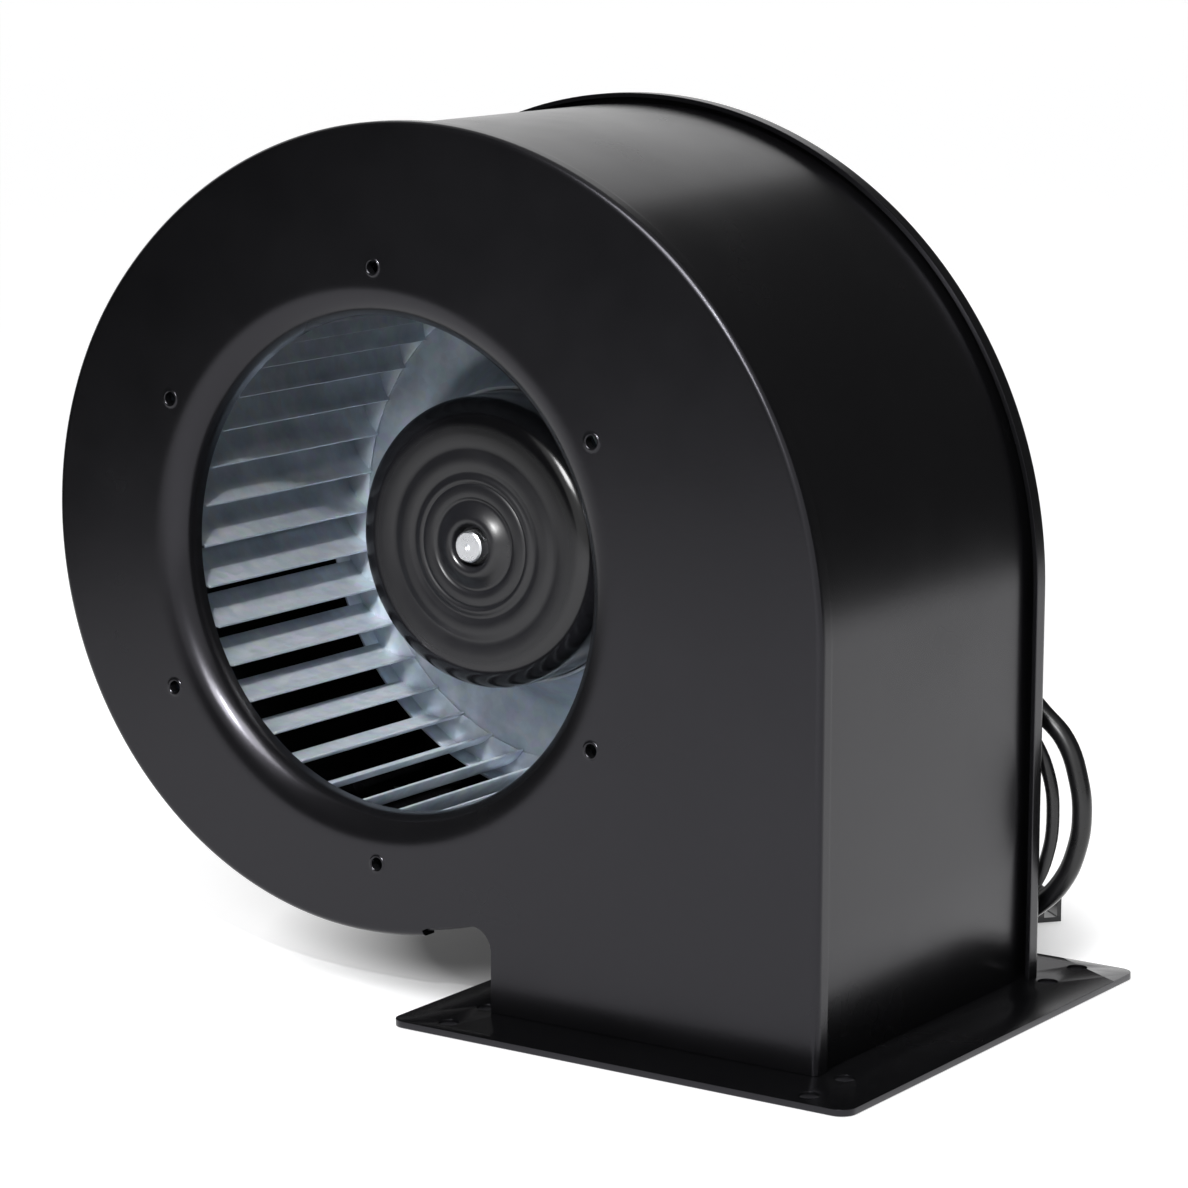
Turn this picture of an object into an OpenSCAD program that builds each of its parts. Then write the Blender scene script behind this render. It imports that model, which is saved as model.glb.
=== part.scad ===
// Forward-curved centrifugal blower with an external-rotor DC motor.
// The scroll stands on the flange of its outlet duct and draws air in on the front, -Y, side.
// Origin: centre of the flange's bolt pattern, on its underside. Units are millimetres.

/* [Housing] */
// Distance between the outer faces of the two side plates
housing_depth = 131; // [120:1:150]
// Thickness of the scroll's sheet steel
sheet = 1.5; // [1:0.1:1.6]
// Width over the side walls of the outlet duct
duct_w = 115; // [106:1:120]
// Height of the impeller's lowest point above the underside of the flange
foot_room = 44.2; // [42:0.2:60]
// Distance of the impeller from the middle of the flange
side_room = 12.2; // [8:0.2:16]
// How far the middle of the duct is from the flange's, towards the impeller
duct_shift = 2.6; // [0:0.1:3]
// Room between the impeller and the lower left arc of the scroll
heel_room = 29; // [22:0.5:32]
// How much larger than the impeller's radius the lowest arc of the scroll is
toe_room = 59; // [50:0.5:64]
// Outer radius of the cut-off, where the scroll turns down into the duct
cutoff_r = 6.5; // [4:0.5:10]

/* [Side plates] */
// Depth of the front plate's rim, folded back over the scroll band
front_rim = 6; // [5:0.5:14]
// Outer bend radius of both plates' rims
bend_r = 2; // [1.8:0.1:2.2]
// Depth of the back plate's rim, folded forward
back_rim = 6.5; // [4:0.5:10]
// Open groove between the scroll band and the back plate's rim
back_groove = 1.8; // [1.2:0.1:3]

/* [Inlet] */
// Radial clearance between the inlet lip and the inner edges of the blades
lip_clearance = 1.8; // [0.8:0.1:6]
// Outer radius of the bell mouth's curve
bell_r = 10; // [8:0.5:10]
// Depth of the inlet lip behind the front face
lip_depth = 11; // [10.5:0.5:16]
// Distance from the bell mouth's outer edge to the guard holes' centres
guard_offset = 5.3; // [4.5:0.1:8]
// Number of tapped holes for a guard round the inlet
guard_count = 6; // [3:1:12]
// Radius of the guard holes
guard_hole_r = 2; // [1.2:0.1:2.5]

/* [Outlet flange] */
// Length of the flange along the duct's width
flange_w = 161; // [154:1:180]
// Length of the flange along the duct's depth
flange_d = 177; // [172:1:200]
// Thickness of the flange plate
flange_t = 2; // [1.5:0.1:4]
// Corner radius of the flange plate
flange_corner_r = 5; // [2:0.5:8]
// Distance of the bolt holes from the flange's left and right edges
bolt_side = 17; // [10:0.5:17]
// Distance of the outer bolt holes from the flange's front and back edges
bolt_end = 7.5; // [6:0.5:12]
// Distance between an outer and an inner bolt hole, along the depth
bolt_step = 19.5; // [10:0.5:30]
// Radius of the flange's bolt holes
bolt_r = 3.2; // [2:0.1:4]
// Height of the lips turned up inside the duct
duct_lip = 12; // [8:0.5:20]

/* [Impeller] */
// Diameter over the blades
impeller_d = 180; // [176:1:186]
// Radial depth of the blades
blade_depth = 11.5; // [9:0.1:14]
// Number of blades
blade_count = 38; // [24:1:44]
// Thickness of the blade strip
blade_t = 0.8; // [0.5:0.1:1.2]
// Angle between a blade and the radius at its inner edge
blade_in_angle = 8; // [0:1:25]
// Angle between a blade and the radius at its tip
blade_tip_angle = 70; // [50:1:80]
// Width of the uncut rim of the strip in front of the blades
strip_front_rim = 4; // [2:0.5:10]
// Width of the uncut rim of the strip behind the blades
strip_back_rim = 8; // [4:0.5:14]
// Gap between the inlet lip's end and the front of the blades, along the axis
lip_gap = 3; // [1:0.1:4]
// Thickness of the impeller's back disc
disc_t = 1.2; // [0.8:0.1:2]
// Distance of the disc in front of the rotor's rear edge
disc_setback = 17; // [12:0.2:26]
// Length of the disc's collar, along the axis
collar_len = 25.8; // [18:0.2:30]
// Radius where the collar flares into the flat of the disc
flare_r = 58; // [54:0.5:64]
// Thickness of the hoop round the front of the blades
hoop_t = 1; // [0.6:0.1:2]
// Width of the hoop along the axis
hoop_w = 7; // [4:0.5:12]

/* [Motor] */
// Outer diameter of the rotor can
can_d = 93; // [90:0.5:96]
// Length of the rotor can
can_len = 67.5; // [66:0.5:74]
// Wall of the rotor can
can_wall = 2; // [1.5:0.1:2.5]
// Radius of the can's rounded front edge
can_edge_r = 8; // [6:0.5:9]
// Gap between the motor flange and the rotor's rear edge
rotor_gap = 3; // [2:0.5:5]
// Diameter of the shaft
shaft_d = 10; // [8:0.5:11]
// Outer diameter of the ball bearings
bearing_d = 26; // [24:0.5:28]
// Width of the ball bearings
bearing_w = 8; // [6:0.5:10]
// Wall of the bearing tube
tube_wall = 4; // [3:0.5:5]
// Air gap between stator and magnets
air_gap = 0.6; // [0.3:0.1:1]
// Thickness of the magnets
magnet_t = 3.8; // [2.5:0.1:5]
// Number of magnets
magnet_count = 10; // [6:2:14]
// Number of stator teeth
tooth_count = 12; // [9:3:12]
// Length of the stator core
core_len = 36; // [28:1:40]
// Thickness of the motor flange
motor_flange_t = 8; // [6:0.5:10]
// Radius of the motor flange
motor_flange_r = 44; // [43:0.5:50]
// Radius of the circle of the four motor screws
motor_screw_circle = 39; // [38.5:0.1:39.5]
// Radius of the motor screws' shanks
motor_screw_r = 2; // [1.5:0.1:2.5]
// Outer radius of the electronics cup behind the back plate
cup_r = 34; // [32:0.5:34.5]
// How far the cup stands out behind the back plate
cup_len = 12.5; // [12:0.5:18]
// Wall of the cup
cup_wall = 2.5; // [2:0.1:3.5]

/* [Leads] */
// Diameter of the power lead
power_d = 6.4; // [5:0.2:8]
// Diameter of the signal lead
signal_d = 4.2; // [3:0.2:4.6]

/* [Hidden] */
$fn = 96;

// Clearances
fit_gap = 0.1;       // between sheets that lie on each other
press_gap = 0.02;    // round pieces pressed on each other
bearing_gap = 0.05;  // shaft in its bearings
part_gap = 0.3;      // between pieces that pass each other
cut = 1;             // how far a cutter runs past what it cuts
hairline = 0.01;     // between neighbouring stretches of a rim

// Scroll, in the housing's own frame: X right, Y up, Z towards the inlet, origin on the axis
impeller_r = impeller_d/2;
axis_height = impeller_r + foot_room;
axis_offset = impeller_r + side_room;
front_z = housing_depth/2;
back_z = -housing_depth/2;
foot_y = flange_t - axis_height;
heel_c = [-6, 6.3];
crown_to = 141;
heel_to = 270;
rim_end = 279;
heel_r = impeller_r + heel_room;
toe_r = impeller_r + toe_room;
function toward(a) = [cos(a), sin(a)];
duct_mid = axis_offset - duct_shift;
duct_right = duct_mid + duct_w/2;
duct_left = duct_mid - duct_w/2;
bolt_dx = flange_w - 2*bolt_side;
bolt_dy_outer = flange_d - 2*bolt_end;
bolt_dy_inner = bolt_dy_outer - 2*bolt_step;
// The crown's arc runs into the heel's on one side and into the duct's right wall on the other
crown_r = (duct_right - heel_c.x - heel_r*cos(crown_to))/(1 - cos(crown_to));
crown_c = heel_c + (heel_r - crown_r)*toward(crown_to);
toe_c = heel_c + (heel_r - toe_r)*toward(heel_to);
cutoff_x = duct_left - cutoff_r;
cutoff_c = [cutoff_x, toe_c.y - sqrt(pow(toe_r + cutoff_r, 2) - pow(cutoff_x - toe_c.x, 2))];
toe_to = 360 + atan2(cutoff_c.y - toe_c.y, cutoff_c.x - toe_c.x);
front_reach = fit_gap + sheet;
rim_overlap = 1;
back_reach = back_groove + sheet;

// Impeller and inlet
blade_start = 2.2;
blade_r = impeller_r - blade_depth;
lip_r = blade_r - lip_clearance;
bell_outer_r = lip_r + bell_r;
guard_r = bell_outer_r + guard_offset;
guard_collar_r = guard_hole_r + 0.9;
guard_collar_h = 0.3;
guard_collar_len = 1.5;

// Motor, from the back plate forwards
seat_z = back_z + sheet;
flange_z = seat_z + motor_flange_t;
can_rear_z = flange_z + rotor_gap;
can_front_z = can_rear_z + can_len;
can_r = can_d/2;
can_in_r = can_r - can_wall;
disc_z = can_rear_z + disc_setback;
blade_front_z = front_z - lip_depth - lip_gap;
shaft_r = shaft_d/2;
bearing_r = bearing_d/2;
tube_r = bearing_r + tube_wall;
tube_bore_r = bearing_r - 2;
cap_t = 3;
hub_r = shaft_r + 3;
hub_len = 4;
washer_t = 1;
washer_z = can_front_z - cap_t - hub_len - washer_t;
tube_z = washer_z - part_gap;
stator_r = can_in_r - magnet_t - air_gap;
core_mid_z = (tube_z + flange_z)/2 - 1;
screw_head_r = motor_screw_r*1.9;
screw_head_h = motor_screw_r*1.5;
cup_in_r = cup_r - cup_wall;
cup_z = back_z - cup_len;
cover_t = 1.5;
cover_screw_r = 1;
cover_screw_len = 6;
ring_t = 1.2;
shaft_rear_z = seat_z - 4;
board_t = 1.6;
board_z = seat_z - 8;
post_r = 3;
post_first = 60;
post_at = cup_in_r - post_r + 1;

// Cable outlet in the cup's wall, turned down from the horizontal
outlet_fall = 12;
outlet_z = back_z - 7.5;
outlet_pitch = 12;
gland_len = 26;
gland_h = 9;
gland_in = sqrt(pow(cup_in_r, 2) - pow(gland_len/2, 2));
gland_out = cup_r + 3;
boot_len = 18;

steel_black = [0.07, 0.07, 0.08];
galvanised = [0.66, 0.70, 0.73];
bright_steel = [0.80, 0.80, 0.82];
cast_grey = [0.62, 0.63, 0.65];
copper = [0.72, 0.42, 0.22];
rubber_black = [0.05, 0.05, 0.05];

// ---------------------------------------------------------------- frames and shared shapes

// From the housing's own frame to the part's frame
module on_axis() {
    translate([-axis_offset, 0, axis_height]) rotate([90, 0, 0]) children();
}

// Corners of a fan-shaped cutter from one angle to another
function fan(reach, from, to) = [[0, 0], for (i = [0:4]) reach*toward(from + (to - from)*i/4)];

// Sector of a disc
module pie(centre, r, from, to) {
    translate(centre) intersection() {
        circle(r);
        polygon(fan(1.5*r, from, to));
    }
}

// Sector of a ring
module ring_sector(outer, inner, from, to) {
    difference() {
        pie([0, 0], outer, from, to);
        circle(inner);
    }
}

// Straight tube along Z
module tube(outer, inner, from_z, to_z) {
    translate([0, 0, from_z]) difference() {
        cylinder(r = outer, h = to_z - from_z);
        translate([0, 0, -cut]) cylinder(r = inner, h = to_z - from_z + 2*cut);
    }
}

module rod(r, from_z, to_z) {
    translate([0, 0, from_z]) cylinder(r = r, h = to_z - from_z);
}

// Copies on a circle, the first at the given angle
module around(count, first = 0) {
    for (i = [0:count - 1]) rotate([0, 0, first + i*360/count]) children();
}

// Outline of the scroll and its duct, three arcs that run into each other without a corner.
// grow moves the whole outline out from the band's outer face. The heel's sector reaches a
// little under its neighbours, so the arcs join in one face.
module scroll_outline(grow = 0, bottom = foot_y) {
    difference() {
        union() {
            pie(crown_c, crown_r + grow, 0, crown_to);
            pie(heel_c, heel_r + grow - hairline, crown_to - 1, heel_to + 1);
            pie(toe_c, toe_r + grow, heel_to, toe_to);
            polygon([
                heel_c - [20, 0],
                toe_c + toe_r/2*toward(toe_to - 2),
                cutoff_c,
                [duct_left - grow, cutoff_c.y - 0.5],
                [duct_left - grow, bottom],
                [duct_right + grow - hairline, bottom],
                [duct_right + grow - hairline, crown_c.y + 1],
                crown_c + [0, 20]]);
        }
        translate(cutoff_c) circle(cutoff_r - grow);
    }
}

// Sweeps a rim's section up the duct's right wall and round the scroll's arcs.
// The section lies in X, Z, with its outer face at X = 0.
module sweep_round_scroll(reach) {
    translate([duct_right + reach, foot_y, 0]) mirror([0, 1, 0]) rotate([90, 0, 0])
        linear_extrude(crown_c.y - hairline - foot_y) children();
    sweep_arc(crown_c, crown_r + reach, 0, crown_to) children();
    sweep_arc(heel_c, heel_r + reach, crown_to, heel_to) children();
    sweep_arc(toe_c, toe_r + reach, heel_to, rim_end) children();
}

module sweep_arc(centre, r, from, to) {
    slit = hairline/r*180/PI;
    translate(centre) rotate([0, 0, from + slit]) rotate_extrude(angle = to - from - 2*slit)
        translate([r, 0]) children();
}

// Section of a folded rim: a flat tongue that lies in the plate, a quarter bend and a leg
module rim_section(depth) {
    flat = bend_r + rim_overlap;
    difference() {
        union() {
            translate([-bend_r, -bend_r]) pie([0, 0], bend_r, 0, 90);
            translate([-flat, -depth]) square([flat - bend_r, depth]);
            translate([-bend_r, -depth]) square([bend_r, depth - bend_r]);
        }
        translate([-bend_r, -bend_r]) circle(bend_r - sheet);
        translate([-flat - cut, -depth - cut]) square([flat + cut - bend_r, depth + cut - sheet]);
        translate([-bend_r - cut, -depth - cut]) square([bend_r + cut - sheet, depth + cut - bend_r]);
    }
}

// ---------------------------------------------------------------- housing

module front_plate() {
    color(steel_black) on_axis() difference() {
        union() {
            translate([0, 0, front_z - sheet]) linear_extrude(sheet) difference() {
                scroll_outline(front_reach - bend_r - rim_overlap/2);
                circle(bell_outer_r);
            }
            translate([0, 0, front_z]) sweep_round_scroll(front_reach) rim_section(front_rim);
            bell_mouth();
            around(guard_count, 30) translate([guard_r, 0])
                rod(guard_collar_r, front_z - sheet - guard_collar_len, front_z + guard_collar_h);
        }
        around(guard_count, 30) translate([guard_r, 0])
            rod(guard_hole_r, front_z - sheet - guard_collar_len - cut, front_z + cut);
    }
}

// Drawn inlet: a quarter torus from the flat plate into a short straight lip
module bell_mouth() {
    translate([0, 0, front_z]) rotate_extrude() {
        translate([bell_outer_r, -bell_r]) ring_sector(bell_r, bell_r - sheet, 90, 180);
        translate([lip_r, -lip_depth]) square([sheet, lip_depth - bell_r]);
    }
}

// The band stands on the back plate and ends where the bend of the front rim begins
module scroll_band() {
    color(steel_black) on_axis() translate([0, 0, seat_z])
        linear_extrude(front_z - bend_r - seat_z) difference() {
            scroll_outline();
            scroll_outline(-sheet, foot_y - cut);
        }
}

module back_plate() {
    color(steel_black) on_axis() difference() {
        union() {
            translate([0, 0, back_z]) linear_extrude(sheet)
                scroll_outline(back_reach - bend_r - rim_overlap/2);
            translate([0, 0, back_z]) mirror([0, 0, 1])
                sweep_round_scroll(back_reach) rim_section(back_rim);
        }
        rod(cup_r + part_gap, back_z - cut, seat_z + cut);
        around(4, 45) translate([motor_screw_circle, 0])
            rod(motor_screw_r + part_gap, back_z - cut, seat_z + cut);
    }
}

module rounded_plate(w, d, r) {
    square([w - 2*r, d], center = true);
    square([w, d - 2*r], center = true);
    for (x = [-1, 1]) for (y = [-1, 1])
        translate([x*(w/2 - r), y*(d/2 - r)]) circle(r);
}

// Base plate with four lips turned up against the inside of the duct
module outlet_flange() {
    duct_in_w = duct_w - 2*sheet - 2*fit_gap;
    duct_in_d = housing_depth - 2*sheet - 2*fit_gap;
    color(steel_black) {
        linear_extrude(flange_t) difference() {
            rounded_plate(flange_w, flange_d, flange_corner_r);
            translate([-duct_shift, 0]) square([duct_in_w - 2*sheet, duct_in_d - 2*sheet], center = true);
            for (x = [-1, 1]) for (y = [-1, 1]) {
                translate([x*bolt_dx/2, y*bolt_dy_outer/2]) circle(bolt_r);
                translate([x*bolt_dx/2, y*bolt_dy_inner/2]) circle(bolt_r);
            }
        }
        translate([-duct_shift, 0, flange_t]) linear_extrude(duct_lip) difference() {
            square([duct_in_w, duct_in_d], center = true);
            square([duct_in_w - 2*sheet, duct_in_d - 2*sheet], center = true);
        }
    }
}

// ---------------------------------------------------------------- impeller

// A blade is one arc. Its radius follows from the two angles and the radial depth.
function blade_arc(depth) =
    let (a = sin(blade_tip_angle) - sin(blade_in_angle))
    let (b = cos(blade_in_angle) - cos(blade_tip_angle))
    let (q = a*a + b*b)
    let (p = blade_r*a)
    (sqrt(p*p + q*depth*(2*blade_r + depth)) - p)/q;

module blade_section() {
    arc = blade_arc(blade_depth - 0.7*blade_t);
    translate([blade_r - arc*sin(blade_in_angle), -arc*cos(blade_in_angle)])
        ring_sector(arc + blade_t/2, arc - blade_t/2, 90 - blade_tip_angle, 90 - blade_in_angle);
}

locating_hole_r = 1.5;
locating_hole_at = 147;
module locating_hole() {
    rotate([0, 0, locating_hole_at]) translate([(blade_r + impeller_r)/2 - 1.5, 0])
        rod(locating_hole_r, disc_z - disc_t - cut, disc_z + blade_t + cut);
}

// One strip with its windows bent out into blades, rolled to a drum, with its back edge turned
// in over the disc. The turned edge has a corner at the root of each blade.
module impeller_blades() {
    color(galvanised) on_axis() difference() {
        union() {
            translate([0, 0, disc_z]) linear_extrude(blade_front_z - disc_z)
                around(blade_count, blade_start) blade_section();
            tube(impeller_r, impeller_r - blade_t, blade_front_z - strip_front_rim, blade_front_z);
            tube(impeller_r, impeller_r - blade_t, disc_z, disc_z + strip_back_rim);
            translate([0, 0, disc_z]) linear_extrude(blade_t) difference() {
                circle(impeller_r);
                polygon([for (i = [0:blade_count - 1]) (blade_r + blade_t)*toward(blade_start + i*360/blade_count)]);
            }
        }
        locating_hole();
    }
}

module impeller_hoop() {
    hoop_in_r = impeller_r + press_gap;
    hoop_front_z = blade_front_z + fit_gap;
    color(galvanised) on_axis() {
        tube(hoop_in_r + hoop_t, hoop_in_r, blade_front_z - hoop_w, hoop_front_z);
        tube(hoop_in_r + hoop_t, impeller_r - blade_depth/2, hoop_front_z, hoop_front_z + blade_t);
    }
}

module impeller_disc() {
    collar_r = can_r + press_gap;
    straight = disc_z + 0.65*collar_len;
    rise = 2.5*disc_t;
    color(galvanised) on_axis() difference() {
        rotate_extrude() polygon([
            [impeller_r, disc_z],
            [flare_r + rise, disc_z],
            [flare_r, disc_z + rise/2],
            [collar_r + disc_t, straight],
            [collar_r + disc_t, disc_z + collar_len],
            [collar_r, disc_z + collar_len],
            [collar_r, straight - disc_t/2],
            [flare_r - disc_t, disc_z],
            [flare_r + rise - disc_t, disc_z - disc_t],
            [impeller_r, disc_z - disc_t]]);
        locating_hole();
    }
}

// ---------------------------------------------------------------- rotor

// Radius and height of the rings pressed into the rotor's cap, from the hub outwards
cap_rings = [[6.4, -1.6], [7.2, 1.9], [9.5, 2.2], [14.6, -0.9], [15.4, 0], [19, 0],
    [19.8, -0.5], [20.6, 0], [22.5, -0.9], [25, 0], [28, 0], [30.5, -0.7], [33.5, 0]];

module rotor_can() {
    bore = shaft_r + press_gap;
    edge = can_r - can_edge_r;
    edge_z = can_front_z - can_edge_r;
    inner_z = can_front_z - cap_t;
    color(steel_black) on_axis() {
        rotate_extrude() polygon([
            [bore, inner_z - hub_len],
            [bore, can_front_z + cap_rings[0].y],
            for (p = cap_rings) [p.x, can_front_z + p.y],
            [edge, can_front_z],
            [edge, inner_z],
            [hub_r, inner_z],
            [hub_r, inner_z - hub_len]]);
        rotate_extrude() translate([edge, edge_z]) ring_sector(can_edge_r, can_edge_r - can_wall, 0, 90);
        tube(can_r, can_in_r, can_rear_z, edge_z);
    }
}

module rotor_magnets() {
    share = 0.92*180/magnet_count;
    outer = can_in_r - press_gap;
    color([0.25, 0.25, 0.27]) on_axis() translate([0, 0, core_mid_z - core_len/2])
        linear_extrude(core_len) around(magnet_count)
            ring_sector(outer, can_in_r - magnet_t, -share, share);
}

module motor_shaft() {
    chamfer = 0.5;
    groove_r = shaft_r - 0.6;
    ring_z = seat_z - fit_gap;
    front = can_front_z + cap_rings[2].y + 0.8;
    color(bright_steel) on_axis() rotate_extrude() polygon([
        [0, shaft_rear_z],
        [shaft_r - chamfer, shaft_rear_z],
        [shaft_r, shaft_rear_z + chamfer],
        [shaft_r, ring_z - ring_t],
        [groove_r, ring_z - ring_t],
        [groove_r, ring_z],
        [shaft_r, ring_z],
        [shaft_r, front - chamfer],
        [shaft_r - chamfer, front],
        [1, front],
        [0, front - 1]]);
}

// Open ring in the shaft's groove that keeps it in the rear bearing
module retaining_ring() {
    inner = shaft_r - 0.6 + press_gap;
    color(bright_steel) on_axis() translate([0, 0, seat_z - fit_gap - ring_t])
        linear_extrude(ring_t) ring_sector(shaft_r + 2, inner, -65, 245);
}

// Spring washer between the rotor's hub and the front bearing
module preload_washer() {
    color(bright_steel) on_axis() tube(hub_r - 0.5, shaft_r + press_gap, washer_z, washer_z + washer_t);
}

// ---------------------------------------------------------------- motor, fixed

module motor_flange() {
    color(cast_grey) on_axis() difference() {
        union() {
            rod(motor_flange_r, seat_z, flange_z);
            rod(tube_r, flange_z, tube_z);
            rod(cup_r, cup_z, seat_z);
        }
        difference() {
            rod(cup_in_r, cup_z - cut, seat_z);
            tube(cup_r, cup_in_r - 2, board_z, seat_z);
            around(3, post_first) translate([post_at, 0]) rod(post_r, cup_z, seat_z);
        }
        around(3, post_first) translate([post_at, 0]) rod(cover_screw_r, cup_z - cut, cup_z + cover_screw_len);
        rod(tube_bore_r, seat_z - cut, tube_z + cut);
        rod(bearing_r + press_gap, seat_z - cut, seat_z + bearing_w);
        rod(bearing_r + press_gap, tube_z - bearing_w, tube_z + cut);
        around(4, 45) translate([motor_screw_circle, 0])
            rod(motor_screw_r + press_gap, seat_z - cut, flange_z + cut);
        rotate([0, 0, -outlet_fall]) translate([gland_in, 0, outlet_z])
            translate([-cut, -gland_len/2 - press_gap, -gland_h/2 - press_gap])
                cube([cup_r, gland_len + 2*press_gap, gland_h + 2*press_gap]);
    }
}

// Screw with its head against z = 0, its shank up +Z and a hexagon socket
module socket_screw(r, len, head_r, head_h) {
    difference() {
        union() {
            rod(head_r, -head_h, 0);
            rod(r, -head_h, len);
        }
        translate([0, 0, -head_h - cut]) cylinder(r = 0.75*r, h = cut + 0.6*head_h, $fn = 6);
    }
}

module motor_screws() {
    color(bright_steel) on_axis() around(4, 45) translate([motor_screw_circle, 0, back_z])
        socket_screw(motor_screw_r, sheet + motor_flange_t, screw_head_r, screw_head_h);
}

// Sealed ball bearing: outer and inner ring with a shield set back between them
module bearing(from_z) {
    ring_wall = (bearing_r - shaft_r)/4;
    tube(bearing_r, bearing_r - ring_wall, from_z, from_z + bearing_w);
    tube(shaft_r + bearing_gap + ring_wall, shaft_r + bearing_gap, from_z, from_z + bearing_w);
    tube(bearing_r - ring_wall, shaft_r + bearing_gap + ring_wall, from_z + 1, from_z + bearing_w - 1);
}

module front_bearing() {
    color(bright_steel) on_axis() bearing(tube_z - bearing_w);
}

module rear_bearing() {
    color(bright_steel) on_axis() bearing(seat_z);
}

tooth_w = 6;
yoke_r = 24;
shoe_t = 3;
module stator_section(extra = 0) {
    difference() {
        union() {
            circle(yoke_r + extra);
            around(tooth_count) translate([yoke_r - 2, -tooth_w/2 - extra])
                square([stator_r - shoe_t/2 - yoke_r + 2, tooth_w + 2*extra]);
            around(tooth_count)
                ring_sector(stator_r - extra, stator_r - shoe_t - extra, -132/tooth_count, 132/tooth_count);
        }
        circle(tube_r + press_gap);
    }
}

module stator_core() {
    color([0.45, 0.46, 0.48]) on_axis() translate([0, 0, core_mid_z - core_len/2])
        linear_extrude(core_len) stator_section();
}

insulator_t = 0.8;
module slot_insulators() {
    color([0.90, 0.88, 0.80]) on_axis()
        for (z = [core_mid_z - core_len/2 - insulator_t, core_mid_z + core_len/2])
            translate([0, 0, z]) linear_extrude(insulator_t) stator_section(0.3);
}

// A coil round each tooth
module stator_windings() {
    wire = 2.4;
    coil_in = tooth_w/2 + 0.4;
    coil_half = core_len/2 + insulator_t + 0.1;
    coil_r = yoke_r + 0.6;
    coil_len = stator_r - shoe_t - 0.6 - coil_r;
    color(copper) on_axis() translate([0, 0, core_mid_z]) around(tooth_count)
        translate([coil_r, 0, 0]) rotate([90, 0, 90]) linear_extrude(coil_len) difference() {
            square(2*[coil_in + wire, coil_half + wire], center = true);
            square(2*[coil_in, coil_half], center = true);
        }
}

// Round board with its switches and capacitors on the rear side
module control_board() {
    chip = 3;
    color([0.05, 0.30, 0.16]) on_axis() {
        translate([0, 0, board_z - board_t]) linear_extrude(board_t) difference() {
            circle(cup_in_r - part_gap);
            around(3, post_first) translate([post_at, 0]) circle(post_r + part_gap);
            rotate(-outlet_fall) translate([gland_in - part_gap, -gland_len/2 - cut])
                square([cup_wall + cut, gland_len + 2*cut]);
        }
        around(6, 30) translate([17, -3, board_z - board_t - chip]) cube([8, 6, chip]);
        around(3, 60) translate([9, 0]) rod(3, board_z - board_t - chip, board_z - board_t);
    }
}

module electronics_cover() {
    color(steel_black) on_axis() difference() {
        rod(cup_r, cup_z - cover_t, cup_z);
        around(3, post_first) translate([post_at, 0])
            rod(cover_screw_r + part_gap, cup_z - cover_t - cut, cup_z + cut);
    }
}

module cover_screws() {
    color(bright_steel) on_axis() around(3, post_first) translate([post_at, 0, cup_z - cover_t])
        socket_screw(cover_screw_r - press_gap, cover_t + cover_screw_len - cut, 2.2, 1.4);
}

// ---------------------------------------------------------------- leads

// Rubber outlet in the cup's wall with a tapered boot for each lead
module cable_gland() {
    color(rubber_black) on_axis() rotate([0, 0, -outlet_fall]) {
        translate([gland_in, -gland_len/2, outlet_z - gland_h/2])
            cube([gland_out - gland_in, gland_len, gland_h]);
        boot(outlet_pitch/2, power_d/2);
        boot(-outlet_pitch/2, signal_d/2);
    }
}

module boot(y, lead_r) {
    translate([gland_out, y, outlet_z]) rotate([0, 90, 0]) rotate_extrude()
        polygon([[0, -cut], [lead_r + 1.1, -cut], [lead_r + 1.1, 0], [lead_r + 0.5, boot_len], [0, boot_len]]);
}

// Routes of the leads in the part's frame, from the boots to the connectors
power_route = [[-47, 73, 129], [-27, 74, 124.5], [-7, 75, 118.5], [12, 76, 110.5], [27, 76, 102.5],
    [41, 76, 93], [52, 76, 83.5], [60, 76, 76], [65, 76, 64], [66.5, 76, 53], [65, 76, 42], [60, 76, 30.5],
    [52, 76, 22], [40, 76.2, 14.5], [27, 77, 9.5], [13, 79, 6.5], [-1, 82, 5.3], [-15, 87, 5.3],
    [-27, 95, 5.3], [-38, 106, 4], [-47, 119, 3.3], [-51, 134, 3.3], [-46, 148, 3.3], [-33, 156, 3.3],
    [-18, 157, 3.3], [-4, 152, 3.3], [8, 142, 3.3]];
signal_route = [[-49, 73, 117], [-30, 72, 113], [-10, 71, 108.5], [10, 70, 103], [27, 69.6, 97], [41, 69.6, 88],
    [52, 69.6, 77], [58, 69.6, 65.5], [59.7, 69.6, 53.5], [58, 69.6, 40], [53, 69.6, 29], [44, 69.6, 19.5],
    [31, 69.6, 11.5], [16, 69.8, 7], [0, 70.5, 4.8], [-16, 72, 4.2], [-32, 76, 4.2], [-46, 83, 4.2],
    [-58, 93, 3.2], [-67, 106, 2.2], [-72, 120, 2.2], [-74, 135, 2.2], [-76, 150, 2.2], [-84, 162, 2.2],
    [-97, 167, 2.2]];

function unit(v) = v/norm(v);
function tangent_at(path, i) = unit(path[min(i + 1, len(path) - 1)] - path[max(i - 1, 0)]);
// Each ring's first axis is the one before it, turned as little as the route allows
function ring_axes(path, i) = i == 0 ? unit(cross(tangent_at(path, 0), [0, 1, 0])) :
    let (t = tangent_at(path, i))
    let (before = ring_axes(path, i - 1))
    unit(before - (before*t)*t);
function ring_at(path, r, sides, i) =
    let (t = tangent_at(path, i))
    let (a = ring_axes(path, i))
    let (b = cross(t, a))
    [for (k = [0:sides - 1]) path[i] + r*(cos(k*360/sides)*a + sin(k*360/sides)*b)];

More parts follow.
